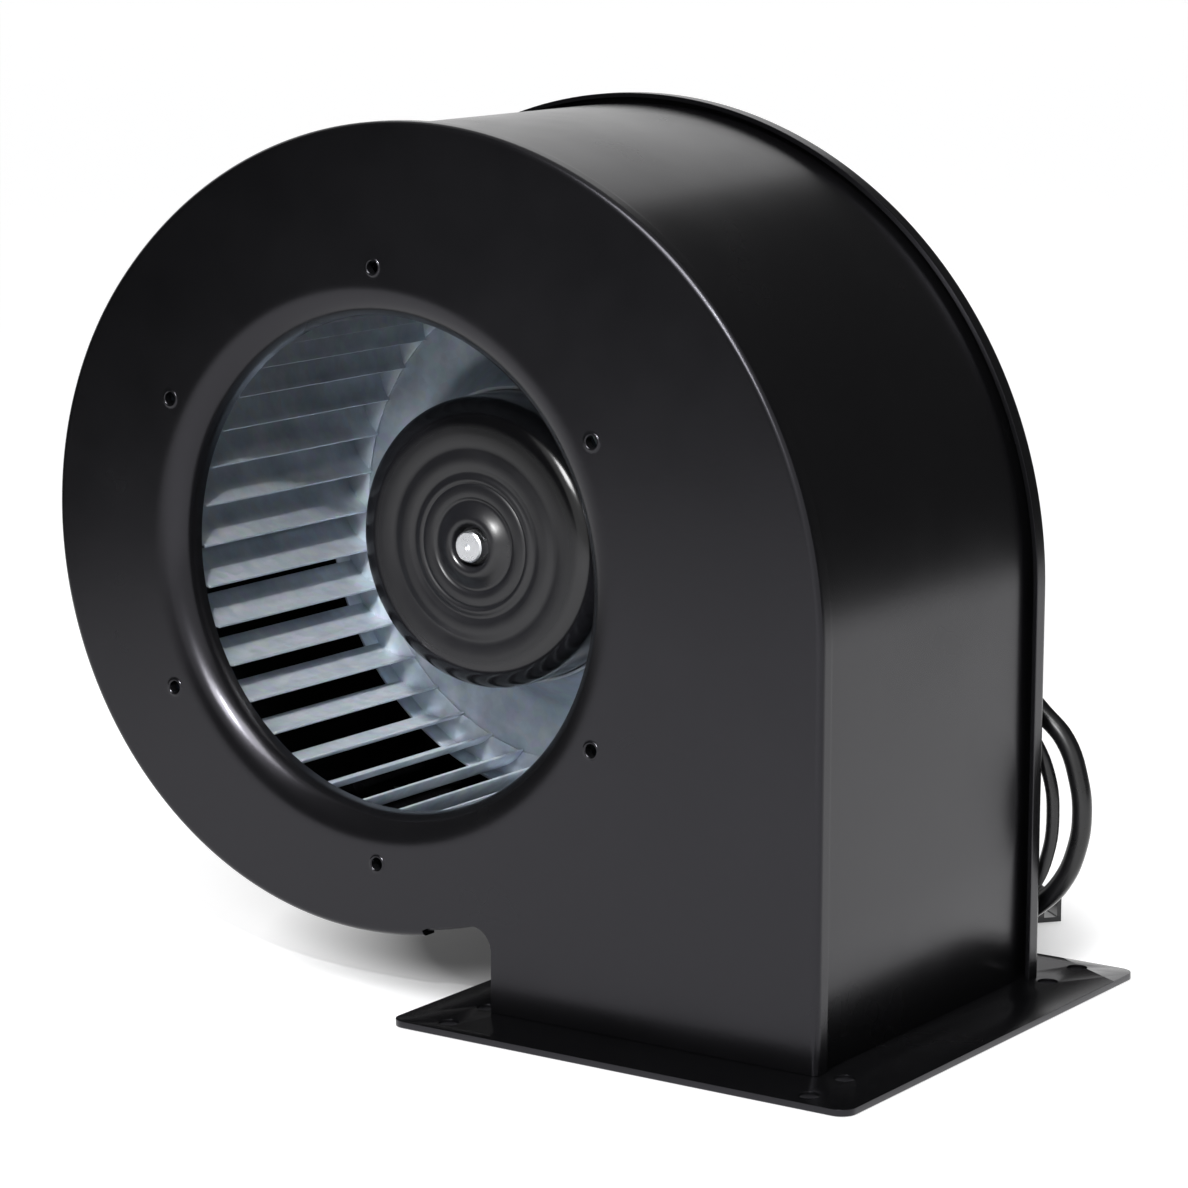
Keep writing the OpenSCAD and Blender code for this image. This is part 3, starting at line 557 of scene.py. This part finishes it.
# %% One blade
IMPELLER_R, BLADE_DEPTH, BLADE_T, BLADES, FIRST = 90, 11.5, 0.8, 38, 2.2
BLADE_IN_DEG, BLADE_TIP_DEG = 23, 76
BLADE_IN, BLADE_TIP = math.radians(BLADE_IN_DEG), math.radians(BLADE_TIP_DEG)
DISC_Z, STRIP_FRONT = -36, 51.5
blade_r = IMPELLER_R - BLADE_DEPTH
a = math.sin(BLADE_TIP) - math.sin(BLADE_IN)
b = math.cos(BLADE_IN) - math.cos(BLADE_TIP)
p, q, depth = blade_r * a, a * a + b * b, BLADE_DEPTH - 0.5 * BLADE_T
arc = (math.sqrt(p * p + q * depth * (2 * blade_r + depth)) - p) / q
centre = Vector((blade_r - arc * math.sin(BLADE_IN), -arc * math.cos(BLADE_IN)))
start = centre + arc * toward(90 - BLADE_IN_DEG)
blade = start_section("blade", (start.x, start.y, DISC_Z + 0.5))
sweep(centre, BLADE_IN_DEG - BLADE_TIP_DEG, step=6.2)
bpy.ops.mesh.select_all(action="SELECT")
for rise in (1.5, 6.5, 72, 5.5, 0.8):
    bpy.ops.mesh.extrude_region_move(TRANSFORM_OT_translate={"value": (0, 0, rise * MM)})
tidy_mesh(blade)
apply_modifier(blade, "SOLIDIFY", thickness=BLADE_T * MM, offset=0)
soften(blade, 0.22, segments=2, angle=60)
print("blade arc radius, mm:", round(arc, 1), "faces:", len(blade.data.polygons))

# %% [markdown]
# ### Drum
# The blade is copied round the axis as often as the strip has windows. The two rims are the uncut
# edges of the strip, and a hem over the disc has a corner at the root of each blade.

# %% Drum of blades
pieces = copies_round(blade, FIRST, BLADES)
RIMS = (("strip_front_rim", STRIP_FRONT - 4, STRIP_FRONT), ("strip_back_rim", DISC_Z, DISC_Z + 8))
for name, low, high in RIMS:
    rim = turned(name, [(IMPELLER_R, low), (IMPELLER_R, low + 1), (IMPELLER_R, high - 1), (IMPELLER_R, high)],
                 steps=152, facing=((IMPELLER_R, 0, (low + high) / 2), (1, 0, 0)))
    apply_modifier(rim, "SOLIDIFY", thickness=BLADE_T * MM, offset=-1)
    soften(rim, 0.15)
    pieces.append(rim)

# The strip's back edge is turned in over the disc, with a corner at the root of each blade.
bpy.ops.object.select_all(action="DESELECT")
HEM_Z = DISC_Z + 0.9
bpy.ops.mesh.primitive_circle_add(vertices=BLADES, radius=(blade_r + 0.8) * MM, location=(0, 0, HEM_Z * MM),
                                  rotation=(0, 0, math.radians(FIRST - 90)))
hem = bpy.context.object
bpy.ops.object.transform_apply(location=True, rotation=True, scale=True)
bpy.ops.object.mode_set(mode="EDIT")
bpy.ops.mesh.select_all(action="DESELECT")
bpy.ops.mesh.primitive_circle_add(vertices=152, radius=(IMPELLER_R - 0.2) * MM, location=(0, 0, HEM_Z * MM))
bpy.ops.mesh.select_all(action="SELECT")
bpy.ops.mesh.fill(use_beauty=True)
bpy.ops.object.mode_set(mode="OBJECT")
tidy_mesh(hem, ((85, 0, HEM_Z), (0, 0, 1)))
apply_modifier(hem, "SOLIDIFY", thickness=0.8 * MM, offset=-1)
soften(hem, 0.15)
pieces.append(hem)
drum = pieces[0]
join(drum, pieces[1:])
drum.name = drum.data.name = "impeller_blade_strip"
stand_up(drum, "impeller", "impeller_blades")

# %% [markdown]
# ## Hoop and disc
# A hoop holds the front ends of the blades. The disc closes the back of the drum and is drawn
# forward into a collar that grips the rotor. Both are round, so each is a section spun once.

# %% Hoop
hoop_profile = [(84.3, 52.4), (86, 52.4), (89.6, 52.4), (90.5, 52.15), (91, 51.5), (91.02, 50.5), (91.02, 46),
                (91.02, 44.5)]
hoop = turned("impeller_hoop_rolled", hoop_profile, steps=152, facing=((91, 0, 48), (1, 0, 0)))
apply_modifier(hoop, "SOLIDIFY", thickness=0.8 * MM, offset=-1)
soften(hoop, 0.15)
stand_up(hoop, "impeller", "impeller_hoop")

# %% Disc
disc_profile = [(89.8, -36), (80, -36), (66, -36), (62.5, -35.95), (60.6, -35.6), (59.2, -34.9), (58, -33.8),
                (56.8, -32.2), (49.6, -22.2), (48.5, -20.4), (47.95, -18.8), (47.75, -17), (47.75, -12),
                (47.75, -10.2)]
disc = turned("impeller_disc_drawn", disc_profile, steps=180, facing=((75, 0, -36), (0, 0, 1)))
apply_modifier(disc, "SOLIDIFY", thickness=1.15 * MM, offset=-1)
soften(disc, 0.2)
stand_up(disc, "impeller", "impeller_disc")

# %% [markdown]
# ## Rotor
# The motor's rotor is a deep-drawn can on the outside of the motor. Shallow rings are pressed
# into its cap to stiffen it, a cone stands up round the shaft, and the edge is a wide round. The
# section follows these from the hub outwards and back inside the wall.

# %% Rotor can
CAN_FRONT, CAN_REAR, CAN_R, EDGE = 14.5, -53, 46.5, 8
SHAFT_HOLE_R, CONE_R, RING_DEPTH = 5.05, 14, 0.75
cap = [(5.05, -4), (5.05, -1.7), (5.6, -1.6), (6.2, -1.2), (6.6, 0.4), (7.0, 1.6), (7.5, 2.05), (8.3, 2.2),
       (9.2, 2.15), (9.9, 1.9), (11, 1.2), (13.4, -0.35), (14.2, -0.75), (14.8, -0.7), (15.2, -0.2), (15.6, 0),
       (17, 0.05), (18.8, 0), (19.3, -0.2), (19.7, -0.5), (20.1, -0.3), (20.5, 0), (21.2, 0), (22, -0.35),
       (22.8, -0.8), (23.6, -0.75), (24.6, -0.25), (25.6, 0), (27.6, 0), (28.8, -0.15), (30, -0.6), (30.9, -0.7),
       (32, -0.45), (33.6, 0), (36, 0), (37.6, 0), (38.5, 0)]
can_profile = [(r, CAN_FRONT + (h if r < CONE_R else RING_DEPTH * h)) for r, h in cap]
can_profile += [(CAN_R - EDGE + EDGE * math.sin(math.radians(t)), CAN_FRONT - EDGE + EDGE * math.cos(math.radians(t)))
                for t in range(6, 91, 6)]
can_profile += [(CAN_R, 4), (CAN_R, -20), (CAN_R, CAN_REAR + 1), (CAN_R - 0.4, CAN_REAR), (CAN_R - 2, CAN_REAR)]
can_profile += [(CAN_R - 2, CAN_FRONT - 9), (CAN_R - 3, CAN_FRONT - 5.5), (CAN_R - 8, CAN_FRONT - 3),
                (8, CAN_FRONT - 3), (8, CAN_FRONT - 7), (SHAFT_HOLE_R, CAN_FRONT - 7), (SHAFT_HOLE_R, CAN_FRONT - 4)]
can = turned("rotor_can_drawn", can_profile, steps=200, facing=((36, 0, CAN_FRONT), (0, 0, 1)))
only(can)
bpy.ops.object.shade_smooth_by_angle(angle=math.radians(40))
stand_up(can, "impeller", "rotor_can")

# %% [markdown]
# ## Materials
# Each finish is named for the real one. `put` adds a node, with its settings, values and links,
# and `tint` turns a colour code as a painter would write it into the linear light that the
# shader works in. Pattern scales are given by a real size in millimetres.

# %% Material helpers
def tint(code):
    parts = [int(code[i:i + 2], 16) / 255 for i in (1, 3, 5)]
    return (*[c / 12.92 if c <= 0.04045 else ((c + 0.055) / 1.055) ** 2.4 for c in parts], 1)


def put(tree, kind, settings=None, **sockets):
    made = tree.nodes.new("ShaderNode" + kind)
    for name, value in (settings or {}).items():
        setattr(made, name, value)
    for name, value in sockets.items():
        place = int(name[1:]) if name[0] == "n" and name[1:].isdigit() else name.replace("_", " ")
        if isinstance(value, bpy.types.NodeSocket):
            tree.links.new(value, made.inputs[place])
        else:
            made.inputs[place].default_value = value
    return made


def blank(name):
    material = bpy.data.materials.new(name)
    material.use_nodes = True
    tree = material.node_tree
    surface = tree.nodes["Principled BSDF"]
    place = put(tree, "TexCoord").outputs["Object"]
    return material, tree, surface, place


def wire(tree, surface, colour, roughness, bump):
    """Joins the three patterns that every finish here has to its surface."""
    tree.links.new(colour, surface.inputs["Base Color"])
    tree.links.new(roughness, surface.inputs["Roughness"])
    tree.links.new(bump.outputs["Normal"], surface.inputs["Normal"])


def seen(tree):
    """One for the camera's rays, also off gloss or through glass, and nought for all others."""
    ray = put(tree, "LightPath")
    mirrored = put(tree, "Math", {"operation": "MAXIMUM"}, n0=ray.outputs["Is Glossy Ray"],
                   n1=ray.outputs["Is Transmission Ray"])
    return put(tree, "Math", {"operation": "MAXIMUM"}, n0=ray.outputs["Is Camera Ray"],
               n1=mirrored.outputs[0]).outputs[0]


def per_metre(millimetres):
    """Scale of a texture whose grain is this large."""
    return 1 / (millimetres * MM)


def dress(piece, material):
    piece.data.materials.clear()
    piece.data.materials.append(material)


# %% [markdown]
# ### Black powder coat
# The housing wears a satin black powder coat. The powder melts into a skin with a fine orange
# peel, about a millimetre from hill to hill, which breaks up the edges of reflections. The colour
# is nearly black; what the eye sees is mostly the soft sheen of the skin.

# %% Powder coat
powder, tree, surface, place = blank("satin_black_powder_coat")
peel = put(tree, "TexNoise", Vector=place, Scale=per_metre(1.4), Detail=2.0, Roughness=0.55)
cloud = put(tree, "TexNoise", Vector=place, Scale=per_metre(45), Detail=3.0, Roughness=0.6)
sheen = put(tree, "MapRange", Value=cloud.outputs["Fac"], From_Min=0.3, From_Max=0.7, To_Min=0.22, To_Max=0.28)
shade = put(tree, "ValToRGB", Fac=cloud.outputs["Fac"])
shade.color_ramp.elements[0].color = tint("#070708")
shade.color_ramp.elements[1].color = tint("#0b0b0c")
bump = put(tree, "Bump", Strength=0.22, Distance=0.05 * MM, Height=peel.outputs["Fac"])
wire(tree, surface, shade.outputs["Color"], sheen.outputs["Result"], bump)
surface.inputs["IOR"].default_value = 1.38
surface.inputs["Specular Tint"].default_value = tint("#f4f2ff")
surface.inputs["Coat Weight"].default_value = 0.05
surface.inputs["Coat Roughness"].default_value = 0.14
for piece in (band, front_plate, back_plate, flange, lips):
    dress(piece, powder)

# %% [markdown]
# ### Rotor lacquer
# The rotor is dipped in a black lacquer. Its drawn round edge and the cone at the hub are
# polished by the press and shine, while the cap's face stays a satin dark grey. The gloss
# follows the distance from the axis, read from the piece's own coordinates.

# %% Rotor lacquer
lacquer, tree, surface, place = blank("black_rotor_lacquer")
on_axis = put(tree, "VectorMath", {"operation": "SUBTRACT"}, n0=place, n1=tuple(AXIS))
across = put(tree, "VectorMath", {"operation": "MULTIPLY"}, n0=on_axis.outputs[0], n1=(1, 0, 1))
radius = put(tree, "VectorMath", {"operation": "LENGTH"}, n0=across.outputs[0])
rings = put(tree, "ValToRGB", Fac=put(tree, "MapRange", Value=radius.outputs["Value"], From_Min=0.0,
                                      From_Max=50 * MM).outputs["Result"])
ramp = rings.color_ramp.elements
ramp[0].position, ramp[0].color = 0.0, (0.28, 0.28, 0.28, 1)
ramp[1].position, ramp[1].color = 1.0, (0.12, 0.12, 0.12, 1)
for spot, grey in ((0.27, 0.24), (0.32, 0.26), (0.72, 0.30), (0.79, 0.12)):
    stop = rings.color_ramp.elements.new(spot)
    stop.color = (grey, grey, grey, 1)
dust = put(tree, "TexNoise", Vector=place, Scale=per_metre(9), Detail=4.0, Roughness=0.6)
film = put(tree, "TexNoise", Vector=place, Scale=per_metre(1.1), Detail=2.0)
rough = put(tree, "Math", {"operation": "MULTIPLY_ADD"}, n0=dust.outputs["Fac"], n1=0.08, n2=rings.outputs["Color"])
shade = put(tree, "ValToRGB", Fac=dust.outputs["Fac"])
shade.color_ramp.elements[0].color = tint("#08080a")
shade.color_ramp.elements[1].color = tint("#0f0f11")
bump = put(tree, "Bump", Strength=0.1, Distance=0.03 * MM, Height=film.outputs["Fac"])
wire(tree, surface, shade.outputs["Color"], rough.outputs["Value"], bump)
surface.inputs["IOR"].default_value = 1.42
surface.inputs["Coat Weight"].default_value = 0.05
surface.inputs["Coat Roughness"].default_value = 0.1
dress(can, lacquer)

# %% [markdown]
# ### Galvanised strip
# Blades and disc are hot-dip galvanised. Zinc freezes in flat crystals, the spangle, a few
# millimetres wide, each with its own slight shade and gloss. The metal is a light blue-grey under
# a thin film of oxide, which scatters light: that is why it isn't metallic all through.

# %% Galvanised steel
zinc, tree, surface, place = blank("galvanised_steel_fine_spangle")
crystal = put(tree, "TexVoronoi", Vector=place, Scale=per_metre(3.0), Randomness=1.0)
stain = put(tree, "TexNoise", Vector=place, Scale=per_metre(14), Detail=5.0, Roughness=0.6)
shade = put(tree, "ValToRGB", Fac=stain.outputs["Fac"])
shade.color_ramp.elements[0].position, shade.color_ramp.elements[0].color = 0.3, tint("#9fa8b2")
shade.color_ramp.elements[1].position, shade.color_ramp.elements[1].color = 0.75, tint("#ccd3da")
facet = put(tree, "Mix", {"data_type": "RGBA", "blend_type": "MULTIPLY"}, Factor=0.11,
            n6=shade.outputs["Color"], n7=crystal.outputs["Color"])
gloss = put(tree, "MapRange", Value=put(tree, "SeparateColor", Color=crystal.outputs["Color"]).outputs[0],
            To_Min=0.40, To_Max=0.54)
bump = put(tree, "Bump", Strength=0.10, Distance=0.03 * MM, Height=stain.outputs["Fac"])
wire(tree, surface, facet.outputs[2], gloss.outputs["Result"], bump)
oxide = put(tree, "MapRange", Value=stain.outputs["Fac"], From_Min=0.3, From_Max=0.7, To_Min=0.62, To_Max=0.84)
tree.links.new(oxide.outputs["Result"], surface.inputs["Metallic"])
for piece in (drum, hoop, disc):
    dress(piece, zinc)

# %% [markdown]
# ### Plain finishes of the motor and the leads
# The other pieces keep their CAD shape and get the finish of the real material: turned steel,
# die-cast aluminium, varnished laminations, ferrite, enamelled copper wire, insulating nylon,
# green board, and the leads' PVC. Each has its own grain, so one table gives what differs.

# %% Plain finishes
FINISHES = {
    # name: (dark, light, metallic, roughness from, to, grain mm, bump)
    "turned_bright_steel": ("#cfd1d4", "#e6e7ea", 1.0, 0.22, 0.34, 0.5, 0.06),
    "zinc_plated_steel_screws": ("#a9adb3", "#c6c9ce", 1.0, 0.25, 0.4, 0.7, 0.08),
    "die_cast_aluminium": ("#8d9093", "#a9acaf", 1.0, 0.42, 0.6, 1.2, 0.3),
    "varnished_steel_laminations": ("#4c4f55", "#666a70", 1.0, 0.4, 0.55, 0.5, 0.3),
    "sintered_ferrite": ("#2a2a2d", "#38383c", 0.0, 0.6, 0.75, 0.8, 0.3),
    "enamelled_copper_wire": ("#9a4f22", "#c67a3f", 1.0, 0.22, 0.36, 0.6, 0.35),
    "natural_nylon_insulator": ("#ddd6bd", "#eae4d0", 0.0, 0.45, 0.6, 1.5, 0.15),
    "solder_masked_board": ("#0d4a2a", "#156139", 0.0, 0.28, 0.4, 2.0, 0.1),
    "moulded_black_rubber": ("#0f0f10", "#18181a", 0.0, 0.5, 0.65, 0.8, 0.3),
    "black_pvc_sheath": ("#0a0a0b", "#111113", 0.0, 0.24, 0.34, 1.6, 0.12),
    "black_nylon_connector": ("#141416", "#1e1e20", 0.0, 0.35, 0.45, 1.0, 0.15),
    "white_nylon_connector": ("#d9d6ca", "#e8e5da", 0.0, 0.35, 0.48, 1.0, 0.15),
    "black_enamelled_cover": ("#101012", "#19191b", 0.0, 0.26, 0.36, 1.4, 0.15),
}
finish = {}
for name, (dark, light, metallic, low, high, grain, relief) in FINISHES.items():
    material, tree, surface, place = blank(name)
    fine = put(tree, "TexNoise", Vector=place, Scale=per_metre(grain), Detail=4.0, Roughness=0.6)
    broad = put(tree, "TexNoise", Vector=place, Scale=per_metre(grain * 12), Detail=3.0)
    both = put(tree, "Math", {"operation": "MULTIPLY_ADD"}, n0=fine.outputs["Fac"], n1=0.35,
               n2=put(tree, "Math", {"operation": "MULTIPLY"}, n0=broad.outputs["Fac"], n1=0.65).outputs[0])
    shade = put(tree, "ValToRGB", Fac=both.outputs[0])
    shade.color_ramp.elements[0].position, shade.color_ramp.elements[0].color = 0.35, tint(dark)
    shade.color_ramp.elements[1].position, shade.color_ramp.elements[1].color = 0.65, tint(light)
    gloss = put(tree, "MapRange", Value=both.outputs[0], From_Min=0.3, From_Max=0.7, To_Min=low, To_Max=high)
    bump = put(tree, "Bump", Strength=relief, Distance=0.05 * MM, Height=fine.outputs["Fac"])
    wire(tree, surface, shade.outputs["Color"], gloss.outputs["Result"], bump)
    surface.inputs["Metallic"].default_value = metallic
    finish[name] = material
WEARS = {
    "motor_shaft": "turned_bright_steel", "retaining_ring": "turned_bright_steel",
    "preload_washer": "turned_bright_steel", "front_bearing": "turned_bright_steel",
    "rear_bearing": "turned_bright_steel", "motor_screws": "zinc_plated_steel_screws",
    "cover_screws": "zinc_plated_steel_screws", "motor_flange": "die_cast_aluminium",
    "stator_core": "varnished_steel_laminations", "rotor_magnets": "sintered_ferrite",
    "stator_windings": "enamelled_copper_wire", "slot_insulators": "natural_nylon_insulator",
    "control_board": "solder_masked_board", "cable_gland": "moulded_black_rubber",
    "electronics_cover": "black_enamelled_cover", "power_connector": "black_nylon_connector",
    "signal_connector": "white_nylon_connector",
}
for node_name, material_name in WEARS.items():
    dress(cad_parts[node_name], finish[material_name])
for lead in (power_lead, signal_lead):
    dress(lead, finish["black_pvc_sheath"])
print("finishes:", len(finish) + 3)

# %% [markdown]
# ## Stage and light
# The blower stands on white paper that runs out into a white backdrop. Satin black shows little
# but what it mirrors, so the stage is built for its reflections: white where a sheen is wanted,
# black where the paint should stay deep. The floor's own glow lifts it to white away from the
# blower. Close to the duct the glow fades out, a painted shade laid over the real shadow, and
# under the flange it is off, a painted shadow.

# %% Floor
bpy.ops.object.select_all(action="DESELECT")
bpy.ops.mesh.primitive_plane_add(size=24, location=(0, 0, -0.0004))
floor = bpy.context.object
floor.name = "floor"
paper, tree, surface, place = blank("white_paper_floor")
fibre = put(tree, "TexNoise", Vector=place, Scale=60.0, Detail=3.0)
shade = put(tree, "ValToRGB", Fac=fibre.outputs["Fac"])
shade.color_ramp.elements[0].color = tint("#bcbcbd")
shade.color_ramp.elements[1].color = tint("#c2c2c3")
tree.links.new(shade.outputs["Color"], surface.inputs["Base Color"])
surface.inputs["Roughness"].default_value = 0.9
# Near the duct the floor's glow fades out, a painted shade over its real shadow, and further out the glow lifts it to
# the backdrop's white.
reach = put(tree, "VectorMath", {"operation": "DISTANCE"}, n0=place, n1=(-0.06, 0.05, 0))
glow = put(tree, "MapRange", Value=reach.outputs["Value"], From_Min=0.088, From_Max=0.142, To_Min=0.05, To_Max=0.75)
# Under the flange the glow is off. This is a painted shadow, so that the bolt holes look down on dark.
axes = put(tree, "SeparateXYZ", Vector=place)
past = []
for axis, half in ((0, 0.078), (1, 0.086)):
    size = put(tree, "Math", {"operation": "ABSOLUTE"}, n0=axes.outputs[axis])
    past.append(put(tree, "Math", {"operation": "SUBTRACT"}, n0=size.outputs[0], n1=half).outputs[0])
furthest = put(tree, "Math", {"operation": "MAXIMUM"}, n0=past[0], n1=past[1])
outside = put(tree, "Math", {"operation": "GREATER_THAN"}, n0=furthest.outputs[0], n1=0.0)
glow_with_painted_shadows = put(tree, "Math", {"operation": "MULTIPLY"}, n0=glow.outputs["Result"], n1=outside.outputs[0])
# The glow, with its painted shade near the duct and its painted shadow under the flange, shows only to the camera and
# in reflections.
painted_shade_glow_seen = put(tree, "Math", {"operation": "MULTIPLY"}, n0=glow_with_painted_shadows.outputs[0], n1=seen(tree))
light = put(tree, "Emission", Color=(1, 1, 1, 1), Strength=painted_shade_glow_seen.outputs[0])
total = put(tree, "AddShader", n0=surface.outputs[0], n1=light.outputs[0])
tree.links.new(total.outputs[0], tree.nodes["Material Output"].inputs["Surface"])
floor.data.materials.append(paper)

# %% [markdown]
# ## Backdrop
# The world is the backdrop. It is white wherever the camera looks, straight or by a reflection,
# and lights the scene with less than that, so that the shadow under the scroll stays dark.

# %% World
world = bpy.data.worlds.new("white_room")
bpy.context.scene.world = world
world.use_nodes = True
tree = world.node_tree
sky = tree.nodes["Background"]
power = put(tree, "MapRange", Value=seen(tree), To_Min=0.35, To_Max=1.0)
tree.links.new(power.outputs["Result"], sky.inputs["Strength"])
sky.inputs["Color"].default_value = (1, 1, 1, 1)


# %% [markdown]
# ## Softboxes, beam, flags and card
# A softbox hangs high above the inlet and a smaller one stands in front. A narrow beam lights the
# drum inside. Black flags, cards that only reflections see, keep the white room out of the paint,
# and a white card beside the duct gives back its broad sheen.

# %% Softboxes and flags
def softbox(name, place, aim, width, height, watts):
    bpy.ops.object.light_add(type="AREA", location=place)
    lamp = bpy.context.object
    lamp.name = name
    lamp.data.shape = "RECTANGLE"
    lamp.data.size, lamp.data.size_y = width, height
    lamp.data.energy = watts
    lamp.rotation_mode = "QUATERNION"
    lamp.rotation_quaternion = (Vector(aim) - Vector(place)).to_track_quat("-Z", "Y")
    return lamp


softbox("key", (0.22, -0.62, 1.05), (-0.08, 0, 0.12), 0.5, 0.5, 12)
softbox("front", (0.3, -1.25, 0.8), (-0.1, 0, 0.12), 0.35, 0.35, 12)
# A narrow beam into the inlet shows the drum, and leaves the housing and the floor alone.
bpy.ops.object.light_add(type="SPOT", location=(0.28, -0.8, 0.82))
beam = bpy.context.object
beam.name = "inlet_beam"
beam.data.energy = 210
beam.data.spot_size, beam.data.spot_blend = math.radians(7.2), 0.35
beam.data.shadow_soft_size = 0.06
beam.rotation_mode = "QUATERNION"
beam.rotation_quaternion = (AXIS + Vector((0, -0.03, -0.01)) - beam.location).to_track_quat("-Z", "Y")

FLAGS = [
    # name, middle, facing, width, height, own glow
    ("flag_right", (0.75, 0.95, 1.0), (-0.6, -0.8, 0), 3.0, 2.0, 0.05),
    ("flag_left", (-0.55, -0.85, 1.0), (0.97, 0.25, 0), 1.7, 2.0, 0.0),
    ("flag_ceiling", (0, 0, 2.0), (0, 0, -1), 5.0, 5.0, 0.4),
    ("flag_low", (-0.2, 0.5, 0.09), (0.56, -0.81, 0), 1.0, 0.18, 0.0),
]
for name, middle, way, width, height, own in FLAGS:
    cloth, tree, surface, _ = blank(name + "_cloth")
    light = put(tree, "Emission", Color=(1, 1, 1, 1), Strength=own)
    surface.inputs["Base Color"].default_value = tint("#050505")
    surface.inputs["Roughness"].default_value = 1.0
    total = put(tree, "AddShader", n0=surface.outputs[0], n1=light.outputs[0])
    tree.links.new(total.outputs[0], tree.nodes["Material Output"].inputs["Surface"])
    bpy.ops.mesh.primitive_plane_add(size=1, location=middle)
    flag = bpy.context.object
    flag.name = name
    flag.scale = (width, height, 1)
    flag.rotation_mode = "QUATERNION"
    flag.rotation_quaternion = Vector(way).to_track_quat("Z", "Y")
    flag.visible_camera = False
    flag.visible_diffuse = False
    flag.visible_shadow = False
    flag.data.materials.append(cloth)
# A white card beside the duct gives its right wall the broad sheen.
bpy.ops.mesh.primitive_plane_add(size=1, location=(0.33, 0.42, 0.002))
card = bpy.context.object
card.name = "white_card"
card.scale = (0.62, 0.85, 1)
card.rotation_euler = (0, 0, math.radians(-30))
card_white = bpy.data.materials.new("white_card_paper")
card_white.use_nodes = True
tree = card_white.node_tree
light = put(tree, "Emission", Color=(1, 1, 1, 1), Strength=1.4)
tree.links.new(light.outputs[0], tree.nodes["Material Output"].inputs["Surface"])
card.data.materials.append(card_white)
for hidden in ("camera", "diffuse", "shadow"):
    setattr(card, "visible_" + hidden, False)
print("flags:", len(FLAGS))
